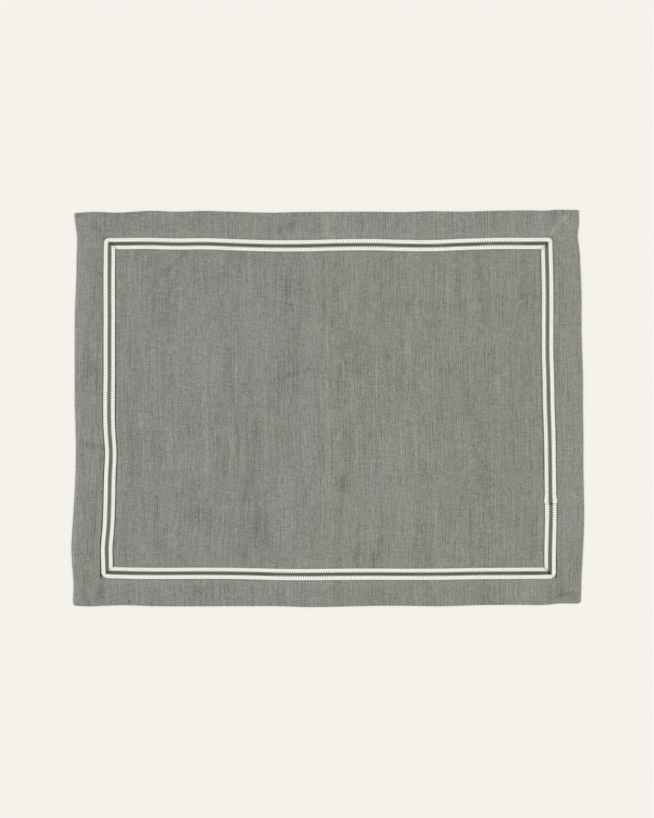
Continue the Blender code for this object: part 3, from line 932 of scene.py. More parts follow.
@dataclass(frozen=True)
class RibbedTapeFinish:
    """The tape's finish: off-white cotton ribs with a dark olive stripe along the middle.

    A contrast is a pair: how strong something is in the dark stripe, and how strong in the white.
    """

    white: tuple = (0.882, 0.873, 0.800, 1.0)
    dark: tuple = (0.091, 0.0855, 0.0625, 1.0)
    # The dark stripe of the side runs: the same yarn, painted lighter where the side light runs along their
    # ribs.
    side_run_lit_dark: tuple = (0.136, 0.129, 0.097, 1.0)
    stripe_half_mm: float = 1.80
    stripe_blur_mm: float = 0.52
    warp_pitch_mm: float = 0.55
    vigour: Cloud = Cloud(14.0, 14.0, 5.0, 0.35)
    rag: Cloud = Cloud(0.7, 0.7, 3.0, 0.12)
    beside_stripe: tuple = (2.5, 3.7, 0.07, -0.03)
    drift: Cloud = Cloud(9.0, 9.0, 7.0, 0.012)
    specks: Cloud = Cloud(0.8, 0.8, 11.0)
    speck_contrast: tuple = (0.24, 0.07)
    blotches: Cloud = Cloud(2.4, 2.4, 13.0)
    blotch_contrast: tuple = (0.09, 0.02)
    rib_contrast: tuple = (0.50, 0.14)
    rib_tone: float = 0.05
    rib_relief: float = 0.07
    warp_weight: float = 0.03
    darkest: float = 0.03
    fibres: tuple = (Cloud(0.3, 0.3, 19.0, 0.02), Cloud(0.9, 0.9, 23.0, 0.02))
    gloss: Cloud = Cloud(0.8, 0.8, 29.0)
    roughness: tuple = (0.72, 0.9)

    def build(self, mottle: bpy.types.NodeTree) -> bpy.types.Material:
        """Make the material.

        Every other rib shifts the stripe to the other side, which makes teeth along both its edges.
        Both colours drift a little along the tape, and darken with painted shade in the needle holes, the
        folds and below the lap's end.

        Args:
            mottle: the group that makes a stretched mottle.

        Returns:
            The material.
        """
        material, wire, shader = new_material("ribbed_tape", mottle)
        place = wire.place_mm()
        off_middle, tooth = wire.kept("off_middle_mm"), wire.kept("tooth")
        rib = wire.math("MULTIPLY_ADD", wire.times(tooth, tooth), 2.0, -1.0)
        warp = wire.wave("COSINE", off_middle, self.warp_pitch_mm)
        vigour = wire.math("MULTIPLY_ADD", wire.cloud(self.vigour, place), self.vigour.weight, 1.0)
        slant = wire.times(tooth, wire.clamped(off_middle, -1.0, 1.0))
        swayed = wire.size(wire.total(off_middle, (wire.kept("sway_mm"), vigour)))
        ragged = wire.total(swayed, *wire.clouds((self.rag,), place))
        low, high = self.stripe_half_mm - self.stripe_blur_mm, self.stripe_half_mm + self.stripe_blur_mm
        in_white = wire.between(ragged, low, high)
        # The side runs take the painted-lighter copy of the dark stripe's colour.
        dark = wire.mixed(wire.kept("side_run"), self.dark, self.side_run_lit_dark)
        contrasts = (
            (wire.cloud(self.specks, place), self.speck_contrast),
            (wire.cloud(self.blotches, place), self.blotch_contrast),
            (slant, self.rib_contrast),
        )
        level = wire.total(
            1.0,
            wire.between(ragged, *self.beside_stripe),
            *wire.clouds((self.drift,), place),
            *((entry, wire.between(in_white, 0.0, 1.0, *contrast)) for entry, contrast in contrasts),
            (rib, self.rib_tone),
            (warp, self.warp_weight),
        )
        shaded = wire.math("MAXIMUM", wire.minus(level, wire.kept("shade")), self.darkest)
        fine = wire.total((rib, self.rib_relief), (warp, self.warp_weight), *wire.clouds(self.fibres, place))
        wire.bump(shader, fine, 0.6, 1.0 * MM)
        entries = {
            "Base Color": wire.dimmed(wire.mixed(in_white, dark, self.white), shaded),
            "Roughness": wire.between(wire.cloud(self.gloss, place), -1.5, 1.5, *self.roughness),
            "Sheen Weight": 0.08,
            "Specular IOR Level": 0.3,
        }
        wire.fill(shader, entries)
        return material


@dataclass(frozen=True)
class ThreadFinish:
    """The sewing thread's finish: off-white, with the twist of its plies."""

    colour: tuple = (0.80, 0.79, 0.72)
    ply_mm: float = 0.32
    drift: Cloud = Cloud(5.0, 5.0, 2.0, 0.02)
    level: float = 0.97
    ply_tone: float = 0.05

    def build(self, mottle: bpy.types.NodeTree) -> bpy.types.Material:
        """Make the material, whose plies are slanted waves and whose tone drifts from stitch to stitch.

        Args:
            mottle: the group that makes a stretched mottle.

        Returns:
            The material.
        """
        material, wire, shader = new_material("sewing_thread", mottle)
        turn = wire.total((wire.kept("along_mm"), 2 * np.pi / self.ply_mm), wire.kept("around"))
        plies = wire.math("SINE", turn)
        level = wire.total(self.level, (plies, self.ply_tone), *wire.clouds((self.drift,), wire.place_mm()))
        wire.bump(shader, plies, 0.4, 0.05 * MM)
        wire.fill(shader, {"Base Color": wire.dimmed(self.colour, level), "Roughness": 0.7})
        return material


@dataclass
class HemmedCloth:
    """The cloth with its turned hem: a fine face, a rounded fold around it and a plainer back."""

    mat: LaidMat
    pitch: float = 1.6 * MM
    fine_pitch: float = 0.75 * MM
    fine_reach: float = 2.6 * MM
    fold_radius: float = 0.85 * MM
    fold_steps: int = 6
    back_lift: float = 0.15 * MM
    back_hollow: float = 0.42 * MM
    hem_edge: float = 0.4 * MM
    map_margin: float = 0.004
    map_back_share: float = 0.20
    half_tint: float = 0.08
    half_from: float = -8 * MM
    half_fade: float = 22 * MM
    seam_end_mm: float = 3.0
    seam_end_share: float = 0.7

    def grid_lines(self, half: float) -> Array:
        """Place the face's grid lines, closer at the tape's edges and at the mat's middle fold.

        The lines are spread by a density that is 1 / pitch, and 1 / fine pitch at those places. Two of
        the back's lines, which are every second one, are moved to the edge of the turned hem.

        Args:
            half: half the mat's size.

        Returns:
            The lines' places, from the lowest, an odd number of them.
        """
        reach = half - self.fold_radius
        tape = half - self.mat.tape_inset
        place = np.linspace(-reach, reach, 8001)
        fine_places = np.array([[0], [tape - self.mat.tape_width], [tape]])
        nearness = np.exp(-(((np.abs(place) - fine_places) / self.fine_reach) ** 4)).sum(axis=0)
        density = 1 / self.pitch + (1 / self.fine_pitch - 1 / self.pitch) * np.clip(nearness, 0, 1)
        passed = np.concatenate([[0], np.cumsum((density[1:] + density[:-1]) / 2 * np.diff(place))])
        cells = 2 * int(round(passed[-1] / 2))
        lines = np.interp(np.linspace(0, passed[-1], cells + 1), passed, place)
        back = lines[::2].copy()
        for side in (-1, 1):
            edge = side * (half - self.mat.hem_depth)
            nearest = int(np.argmin(np.abs(back - edge)))
            inner = nearest - side
            back[nearest] = edge + side * self.hem_edge / 2
            back[inner] = edge - side * self.hem_edge / 2
        lines[::2] = back
        lines[1::2] = (back[1:] + back[:-1]) / 2
        return lines

    def back_height(self, x: Array, y: Array) -> Array:
        """Give the height of the back: low under the hem, and higher by the hem's layers in the middle."""
        past_hem = self.mat.from_edge(x, y) - self.mat.hem_depth
        return self.back_lift + self.back_hollow * np.clip(past_hem / self.hem_edge + 0.5, 0, 1)

    def mesh(self) -> bpy.types.Mesh:
        """Build the closed sheet.

        The face is a grid over the straight mat at the height top(x, y). The fold is a half circle of
        the fold radius, carried around the face's boundary. The back is a grid of every second line,
        and a strip of triangles joins it to the finer fold. Every place then moves to where it lies.

        Returns:
            The mesh, with what its material reads and the layout of its pictures.
        """
        lines_x, lines_y = self.grid_lines(self.mat.length / 2), self.grid_lines(self.mat.width / 2)
        cells_x, cells_y = len(lines_x) - 1, len(lines_y) - 1
        face_x, face_y = (part.ravel() for part in np.meshgrid(lines_x, lines_y, indexing="ij"))
        loop = self.boundary(cells_x, cells_y)
        fold_x, fold_y, unrolled_x, unrolled_y, levels = self.fold(face_x[loop], face_y[loop])
        back_x, back_y = (part.ravel() for part in np.meshgrid(lines_x[::2], lines_y[::2], indexing="ij"))
        x, y = (np.concatenate(parts) for parts in ((face_x, fold_x, back_x), (face_y, fold_y, back_y)))
        face_z = self.mat.top(face_x, face_y)
        back_z = self.back_height(back_x, back_y)
        fold_z = self.back_lift + (np.tile(face_z[loop], len(levels) // len(loop)) - self.back_lift) * levels
        laid_x, laid_y = self.mat.as_laid(x, y)
        points = np.column_stack([laid_x, laid_y, np.concatenate([face_z, fold_z, back_z])])

        first_fold, first_back = len(face_x), len(face_x) + len(fold_x)
        folded = first_fold + np.arange(len(fold_x)).reshape(-1, len(loop))
        rings = [loop, *folded]
        back_loop = first_back + self.boundary(cells_x // 2, cells_y // 2)
        face = self.cells(cells_x, cells_y)
        back = first_back + self.cells(cells_x // 2, cells_y // 2)[:, ::-1]
        strips = [self.strip(outer, inner) for outer, inner in zip(rings, rings[1:])]
        join = self.halving_strip(rings[-1], back_loop)
        faces = [np.concatenate([face] + strips), back, join]
        mesh = new_mesh("placemat_cloth", points, faces)

        on_face = np.concatenate([np.ones(first_back), np.zeros(len(back_x))])
        add_places(mesh, "straight_mm", [x / MM, y / MM, on_face])
        # The last two numbers are painted shade beside the tape's edges.
        names = ("tone", "warmth", "cast", "outer_gutter_shade", "inner_gutter_shade")
        # The tone holds painted shade in the creases' troughs and painted highlight on their ridges and on
        # the left and right folded edges, besides the cloth's stains.
        for name, values in zip(names, self.marks(x, y) + self.gutter_shades(x, y)):
            add_number(mesh, name, values * on_face)
        front_uv = self.front_map(
            np.concatenate([face_x, unrolled_x, back_x]), np.concatenate([face_y, unrolled_y, back_y])
        )
        fold_end = 1 + self.fold_radius * np.pi / (self.mat.length / 2 - self.fold_radius)
        front_uv[first_back:] = self.front_map(back_x * fold_end, back_y * fold_end)
        back_uv = self.back_map(x, y)
        corners = [part.ravel() for part in faces]
        add_bake_map(mesh, np.concatenate([front_uv[corners[0]], back_uv[corners[1]], front_uv[corners[2]]]))
        return mesh

    def boundary(self, cells_x: int, cells_y: int) -> Array:
        """List a grid's boundary points anticlockwise from its lowest corner."""
        number = np.arange((cells_x + 1) * (cells_y + 1)).reshape(cells_x + 1, cells_y + 1)
        return np.concatenate([number[:-1, 0], number[-1, :-1], number[:0:-1, -1], number[0, :0:-1]])

    def cells(self, cells_x: int, cells_y: int) -> Array:
        """List a grid's cells, each by its four corners, anticlockwise from above."""
        number = np.arange((cells_x + 1) * (cells_y + 1)).reshape(cells_x + 1, cells_y + 1)
        corners = (number[:-1, :-1], number[1:, :-1], number[1:, 1:], number[:-1, 1:])
        return np.column_stack([part.ravel() for part in corners])

    def strip(self, outer: Array, inner: Array) -> Array:
        """Join two rings of points that match one to one."""
        return np.column_stack([outer, inner, np.roll(inner, -1), np.roll(outer, -1)])

    def halving_strip(self, fine: Array, coarse: Array) -> Array:
        """Join a ring to one of half as many points, with three triangles for each pair of fine edges."""
        first, middle, last = fine[0::2], fine[1::2], np.roll(fine[0::2], -1)
        after = np.roll(coarse, -1)
        triangles = [(first, coarse, middle), (coarse, after, middle), (after, last, middle)]
        return np.concatenate([np.column_stack(three) for three in triangles])

    def fold(self, x: Array, y: Array) -> tuple[Array, Array, Array, Array, Array]:
        """Carry the folded edge's half circle around the face's boundary.

        At the angle a from 0 to pi, the ring stands radius * sin(a) outside the boundary, at the level
        (1 + cos(a)) / 2 of the edge's thickness. Unrolled, it stands radius * a outside.

        Args:
            x: the boundary's straight places along the mat.
            y: the boundary's straight places across the mat.

        Returns:
            The rings' places, their unrolled places, and their levels.
        """
        angles = np.linspace(0, np.pi, self.fold_steps + 1)[1:-1, None]
        half_x, half_y = np.abs(x).max(), np.abs(y).max()
        grow_x = 1 + self.fold_radius * np.sin(angles) / half_x
        grow_y = 1 + self.fold_radius * np.sin(angles) / half_y
        unroll_x = 1 + self.fold_radius * angles / half_x
        unroll_y = 1 + self.fold_radius * angles / half_y
        levels = np.broadcast_to((1 + np.cos(angles)) / 2, (len(angles), len(x)))
        rings = (x * grow_x, y * grow_y, x * unroll_x, y * unroll_y, levels)
        return tuple(part.ravel() for part in rings)

    def from_sides(self, x: Array, y: Array) -> dict[str, Array]:
        """Give the distance in from each of the four sides."""
        half_x, half_y = self.mat.length / 2, self.mat.width / 2
        return {"left": half_x + x, "right": half_x - x, "near": half_y + y, "far": half_y - y}

    def seam_tones_and_edge_highlights(self, x: Array, y: Array) -> Array:
        """Give the tone beside the folded edges and the tape, each a bell at its own distance in; beside the
        left and right folded edges it is painted highlight.
        """
        tone = np.zeros_like(x)
        distances = self.from_sides(x, y)
        for side, inset, half_width, steps in SEAM_TONES_AND_EDGE_HIGHLIGHTS:
            ends = ("near", "far") if side in ("left", "right") else ("left", "right")
            to_end = np.minimum(distances[ends[0]], distances[ends[1]])
            fade = smooth_step((to_end / MM - inset) / self.seam_end_mm + self.seam_end_share)
            tone += steps * bell(distances[side] / MM - inset, half_width) * fade
        return tone

    def gutter_shades(self, x: Array, y: Array) -> tuple[Array, Array]:
        """Read how dark the painted shade is by the tape's outer and inner edges, from the side that is
        nearest.

        The outer shade's darkness runs evenly from the side's low end to its high end.
        """
        distances = self.from_sides(x, y)
        nearest = self.mat.from_edge(x, y)
        beside, outer, inner = [], [], []
        for side, outer_low, outer_high, inner_depth in PAINTED_GUTTER_SHADE:
            upright = side in ("left", "right")
            share = y / self.mat.width + 0.5 if upright else x / self.mat.length + 0.5
            beside.append(distances[side] <= nearest)
            outer.append(outer_low + (outer_high - outer_low) * share)
            inner.append(np.full_like(x, inner_depth))
        return np.select(beside, outer), np.select(beside, inner)

    def marks(self, x: Array, y: Array) -> tuple[Array, Array, Array]:
        """Add up the tone, warmth and cast of the marks, which include painted crease shade and highlight,
        and of the broad shifts, each a bell about its line.

        The warmth also rises by twice the half tint across the middle fold.
        """
        tone, cast = self.seam_tones_and_edge_highlights(x, y), np.zeros_like(x)
        warmth = self.half_tint * (2 * smooth_step((x - self.half_from) / self.half_fade + 0.5) - 1)
        for *line, half_width, steps, warm, rosy in [(*row, 0.0) for row in MARKS_AND_CREASE_SHADING] + list(SHIFTS):
            start_x, start_y, end_x, end_y = (end * MM for end in line)
            near = near_line(x, y, (start_x, start_y), (end_x, end_y), half_width * MM)
            tone += steps * near
            warmth += warm * near
            cast += rosy * near
        return tone, warmth, cast

    def front_map(self, x: Array, y: Array) -> Array:
        """Lay the face and its fold over the upper part of the square."""
        reach_x = self.mat.length / 2 + self.fold_radius * np.pi
        reach_y = self.mat.width / 2 + self.fold_radius * np.pi
        u = self.map_margin + (1 - 2 * self.map_margin) * (x / reach_x + 1) / 2
        high = 1 - self.map_margin
        low = self.map_back_share + self.map_margin
        return np.column_stack([u, low + (high - low) * (y / reach_y + 1) / 2])

    def back_map(self, x: Array, y: Array) -> Array:
        """Lay the back over the lower part of the square."""
        u = self.map_margin + (1 - 2 * self.map_margin) * (x / self.mat.length + 0.5)
        v = self.map_margin + (self.map_back_share - 2 * self.map_margin) * (y / self.mat.width + 0.5)
        return np.column_stack([u, v])

    def build(self, material: bpy.types.Material) -> bpy.types.Object:
        """Make the piece, which stands for the solid of the cloth."""
        piece = link_piece("placemat_cloth", self.mesh(), material)
        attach(piece, "root")
        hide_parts("cloth")
        return piece


class Run(Enum):
    """The tape's four runs, each a quarter turn on from the one before."""

    NEAR = 0
    RIGHT = 1
    FAR = 2
    LEFT = 3


LONG_RUNS = (Run.NEAR, Run.FAR)


@dataclass
class BorderTape:
    """The ribbed tape: four runs that meet in folded mitres, and a lap on the right run.

    Widths and reaches belong to bells or eased steps, and shades are shares of the yarn's brightness.
    """

    mat: LaidMat
    thickness: float = 0.72 * MM
    lift: float = 0.02 * MM
    rib_pitch: float = 1.055 * MM
    steps_per_rib: int = 4
    rib_height: float = 0.035 * MM
    edge_scallop: float = 0.16 * MM
    scallop_reach: float = 1 * MM
    side_run_bulge: float = 0.12 * MM
    side_bulge_power: int = 40
    stripe_shift: float = -0.10 * MM
    stripe_middle: float = 5.2 * MM
    stripe_reach: float = 1.7 * MM
    inner_radius: float = 0.3 * MM
    mitre_extra: float = 0.35 * MM
    mitre_reach: float = 11 * MM
    mitre_groove: float = 0.28 * MM
    mitre_groove_width: float = 0.42 * MM
    groove_end: float = 6.2 * MM
    groove_fade: float = 2 * MM
    groove_loss: float = 0.8
    mitre_line_width: float = 0.95 * MM
    mitre_spread: float = 45 * MM
    inner_white_shade: float = 0.28
    inner_white_end: float = 4.6 * MM
    inner_white_fade: float = 1.5 * MM
    sway_far: float = 0.79 * MM
    sway_near: float = 0.71 * MM
    sway_sides: float = 0.62 * MM
    lap_end: float = -83.6 * MM
    lap_step: float = 0.25 * MM
    lap_length: float = 6.5 * MM
    lap_fade: float = 5 * MM
    lap_extra: float = 0.55 * MM
    lap_bulge: float = 0.65 * MM
    lap_belly_off_end: float = 2.4 * MM
    lap_belly_reach: float = 3 * MM
    lap_stripe_shift: float = 0.28 * MM
    lap_stripe_step: float = 0.3 * MM
    lap_stripe_fade: float = 40 * MM
    end_line_off: float = 0.55 * MM
    end_line_width: float = 0.45 * MM
    end_line_shades: tuple = (0.22, 1.2)
    row_inset: float = 1.6 * MM
    row_width: float = 0.45 * MM
    row_dip: float = 0.10 * MM
    needle_shade: float = 0.17
    map_rows: int = 14
    section: tuple = (
        (0.15, 0.0),
        (0.0, 0.5),
        (0.25, 0.9),
        *((place, 1.0) for place in (0.8, 1.6, 2.4, 3.3, 5.0, 6.7, 7.6, 8.4, 9.2)),
        (9.75, 0.9),
        (10.0, 0.5),
        (9.85, 0.0),
    )

    def inner_half(self, run: Run) -> tuple[float, float]:
        """Give half the length of a run's inner edge, and that edge's distance from the middle."""
        inset = self.mat.tape_inset + self.mat.tape_width
        halves = (self.mat.length / 2 - inset, self.mat.width / 2 - inset)
        return halves if run in LONG_RUNS else halves[::-1]

    def straight_place(self, run: Run, along: Array, offset: Array) -> tuple[Array, Array]:
        """Place points of a run on the straight mat, with the ring's corners rounded.

        A point stands at (along, -(inner edge + offset)), turned by the run's quarter turns. Near a
        corner it is drawn in as on a quarter circle, whose radius grows from the inner edge outwards.

        Args:
            run: which of the four runs.
            along: places along the run from its middle.
            offset: distances from the run's inner edge.

        Returns:
            The straight places along and across the mat.
        """
        half, away = self.inner_half(run)
        share = np.clip(offset / self.mat.tape_width, 0, 1) ** 3
        outer_radius = by_corner(*self.turned(run, along, -away - offset), 3) * MM
        radius = self.inner_radius + (outer_radius - self.inner_radius) * share
        u = (np.abs(along) - half - offset) / radius + 1
        inside = u > 0
        u = np.where(inside, u, 1)
        draw = np.where(inside, 1 - 1 / np.hypot(u, 1), 0) * radius
        return self.turned(run, along - np.sign(along) * u * draw, draw - away - offset)

    def turned(self, run: Run, x: Array, y: Array) -> tuple[Array, Array]:
        """Turn places of the near run by a run's quarter turns."""
        for _ in range(run.value):
            x, y = -y, x
        return x, y

    def sections(self, run: Run) -> Array:
        """List the run's cross sections, from -1 at its start to just before 1 at its end."""
        half, _ = self.inner_half(run)
        count = int(round(2 * half / self.rib_pitch)) * self.steps_per_rib
        return np.linspace(-1, 1, count, endpoint=False)

    def lap_share(self, run: Run, along: Array) -> Array:
        """Give 1 where the tape's turned end lies on its start, and 0 off the lap."""
        if run is not Run.RIGHT:
            return np.zeros_like(along)
        level_end = self.lap_end + self.lap_length
        places = [self.lap_end - self.lap_step, self.lap_end, level_end, level_end + self.lap_fade]
        return np.interp(along, places, [0, 1, 1, 0])

    def to_mitre(self, run: Run, along: Array, offset: Array) -> Array:
        """Give the distance to the mitre at the nearest end of a run."""
        return (self.inner_half(run)[0] + offset - np.abs(along)) / np.sqrt(2)

    def rise(self, run: Run, along: Array, offset: Array) -> Array:
        """Give the tape's thickness without its ribs.

        It is the tape's own, more over the folded corners and the lap, less in the mitres' grooves.
        """
        to_mitre = self.to_mitre(run, along, offset)
        fold = smooth_step((self.mitre_reach - to_mitre * np.sqrt(2)) / self.mat.tape_width)
        groove = bell(to_mitre, self.mitre_groove_width)
        groove *= 1 - smooth_step((offset - self.groove_end) / self.groove_fade) * self.groove_loss
        extra = self.mitre_extra * fold - self.mitre_groove * groove
        return self.thickness + extra + self.lap_extra * self.lap_share(run, along)

    def widening(self, run: Run, s: Array, along: Array, offset: Array) -> Array:
        """Give how far places move outwards in the scalloped edges, the side runs and the lap's belly."""
        outward = (offset / self.mat.tape_width - 0.5) * 2
        half_width = self.mat.tape_width / 2
        to_edge = half_width - np.abs(outward) * half_width
        at_edge = np.clip(1 - to_edge / self.scallop_reach, 0, 1) * np.sign(outward)
        belly = bell(along - self.lap_end - self.lap_belly_off_end, self.lap_belly_reach)
        sides = self.side_run_bulge * (run not in LONG_RUNS) * (1 - np.abs(s) ** self.side_bulge_power)
        bulge = self.lap_bulge * self.lap_share(run, along) * belly + sides
        return self.edge_scallop * self.tooth(along) * at_edge + bulge * outward

    def tooth(self, along: Array) -> Array:
        """Give a wave that is 1 and -1 on alternate ribs."""
        return np.cos(np.pi * along / self.rib_pitch)

    def in_row(self, offset: Array) -> Array:
        """Give a bell that is 1 on both rows of stitches."""
        to_edge = self.mat.tape_width / 2 - np.abs(offset - self.mat.tape_width / 2)
        return bell(to_edge - self.row_inset, self.row_width)

    def shade(self, run: Run, along: Array, offset: Array, corner: tuple[Array, Array]) -> Array:
        """Work out the painted shade in the folds, below the lap's end and in the needle holes of the tape.

        Args:
            run: which of the four runs.
            along: places along the run.
            offset: distances from the run's inner edge.
            corner: the nearest corner's darkness of the painted shade in its fold, and the fold's distance
                from the mitre.

        Returns:
            The share of brightness to take away.
        """
        darkness, fold_off = corner
        fold_off = fold_off * MM * (1 if run in LONG_RUNS else -1)
        mitre_line = bell(self.to_mitre(run, along, offset) - fold_off, self.mitre_line_width) * darkness
        in_dark = bell(offset - self.stripe_middle, self.stripe_reach)
        in_inner_white = smooth_step((self.inner_white_end - offset) / self.inner_white_fade)
        below_lap = bell(along - self.lap_end + self.end_line_off, self.end_line_width) * (run is Run.RIGHT)
        end_line = (self.end_line_shades[0] + self.end_line_shades[1] * in_dark) * below_lap
        needle = self.needle_shade * self.in_row(offset) * (0.5 + 0.5 * self.tooth(along))
        return mitre_line * (in_dark + self.inner_white_shade * in_inner_white) + end_line + needle

    def stripe_off(self, run: Run, along: Array) -> Array:
        """Give how far the stripe lies off the tape's middle, more at the start that the lap covers."""
        step = smooth_step((self.lap_end - along) / self.lap_stripe_step)
        fade = smooth_step((along - self.lap_end + self.lap_stripe_fade) / self.lap_stripe_fade)
        return self.stripe_shift + self.lap_stripe_shift * (run is Run.RIGHT) * step * fade

    def run_points(self, run: Run) -> tuple[Array, dict[str, Array]]:
        """Work out one run's points and what its material reads.

        A section at s from -1 to 1 stands at s * half + lean(s) * offset along the run, where lean eases
        from 0 to 1 near an end, so that the last section lies on the mitre. The ribs add
        rib height * cos(2 pi along / pitch), whatever the section leans.

        Args:
            run: which of the four runs.

        Returns:
            The points, and the numbers that the mesh keeps, by name.
        """
        half, _ = self.inner_half(run)
        s = self.sections(run)[:, None]
        offset, level = (np.array(column)[None, :] for column in zip(*self.section))
        offset = offset * MM
        spread = self.mitre_spread / half
        lean = np.sign(s) * np.clip((np.abs(s) - 1 + spread) / spread, 0, 1) ** 2
        along = s * half + lean * offset
        tooth = self.tooth(along)
        x, y = self.straight_place(run, along, offset + self.widening(run, s, along, offset))
        ribs = self.rib_height * np.cos(2 * np.pi * along / self.rib_pitch)
        dip = self.row_dip * self.in_row(offset) * (1 + 0.5 * tooth)
        z = self.mat.top(x, y) + self.lift + level * (self.rise(run, along, offset) + ribs - dip)
        corner = (by_corner(x, y, 4), by_corner(x, y, 5))
        sway = {Run.FAR: self.sway_far, Run.NEAR: self.sway_near}.get(run, self.sway_sides)
        kept = {
            "off_middle_mm": (offset - self.mat.tape_width / 2 - self.stripe_off(run, along)) / MM,
            "tooth": tooth,
            "sway_mm": tooth * sway / MM,
            "shade": self.shade(run, along, offset, corner),
            "side_run": np.full_like(along, float(run not in LONG_RUNS)),
        }
        points = np.stack([*self.mat.as_laid(x, y), z], axis=-1)
        return points, {name: np.broadcast_to(values, points.shape[:2]) for name, values in kept.items()}

    def mesh(self) -> bpy.types.Mesh:
        """Carry the cross section around the four runs and close the ring.

        Returns:
            The mesh, with what its material reads and the layout of its pictures.
        """
        runs = [self.run_points(run) for run in Run]
        points = np.concatenate([part for part, _ in runs])
        count, around = points.shape[:2]
        number = np.arange(count * around).reshape(count, around)
        after, beside = np.roll(number, -1, axis=0), np.roll(number, -1, axis=1)
        faces = np.stack([number, beside, np.roll(after, -1, axis=1), after], axis=-1).reshape(-1, 4)
        mesh = new_mesh("border_tape", points.reshape(-1, 3), [faces])
        for name in runs[0][1]:
            add_number(mesh, name, np.concatenate([kept[name] for _, kept in runs]).ravel())
        add_bake_map(mesh, self.bake_map(count, around))
        return mesh

    def bake_map(self, count: int, around: int) -> Array:
        """Lay the ring out in rows, each a stretch of its length, with the section across the row.

        Args:
            count: how many sections the ring has.
            around: how many points a section has.

        Returns:
            The place on the square of each face's four corners.
        """
        per_row = -(-count // self.map_rows)
        top_share = 0.9
        across = np.concatenate([np.linspace(0, top_share, around), [1.0]]) * 0.96 + 0.02
        section = np.arange(count)[:, None]
        row = section // per_row
        u = (section % per_row) / per_row
        place = np.arange(around)[None, :]
        low, high = (row + across[place]) / self.map_rows, (row + across[place + 1]) / self.map_rows
        left, right = (np.broadcast_to(part, low.shape) for part in (u, u + 1 / per_row))
        corners = [(left, low), (left, high), (right, high), (right, low)]
        return np.stack([np.stack(pair, axis=-1) for pair in corners], axis=2).reshape(-1, 2)

    def build(self, material: bpy.types.Material) -> bpy.types.Object:
        """Make the piece, which stands for the solid of the tape."""
        piece = link_piece("border_tape", self.mesh(), material)
        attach(piece, "root")
        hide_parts("tape")
        return piece


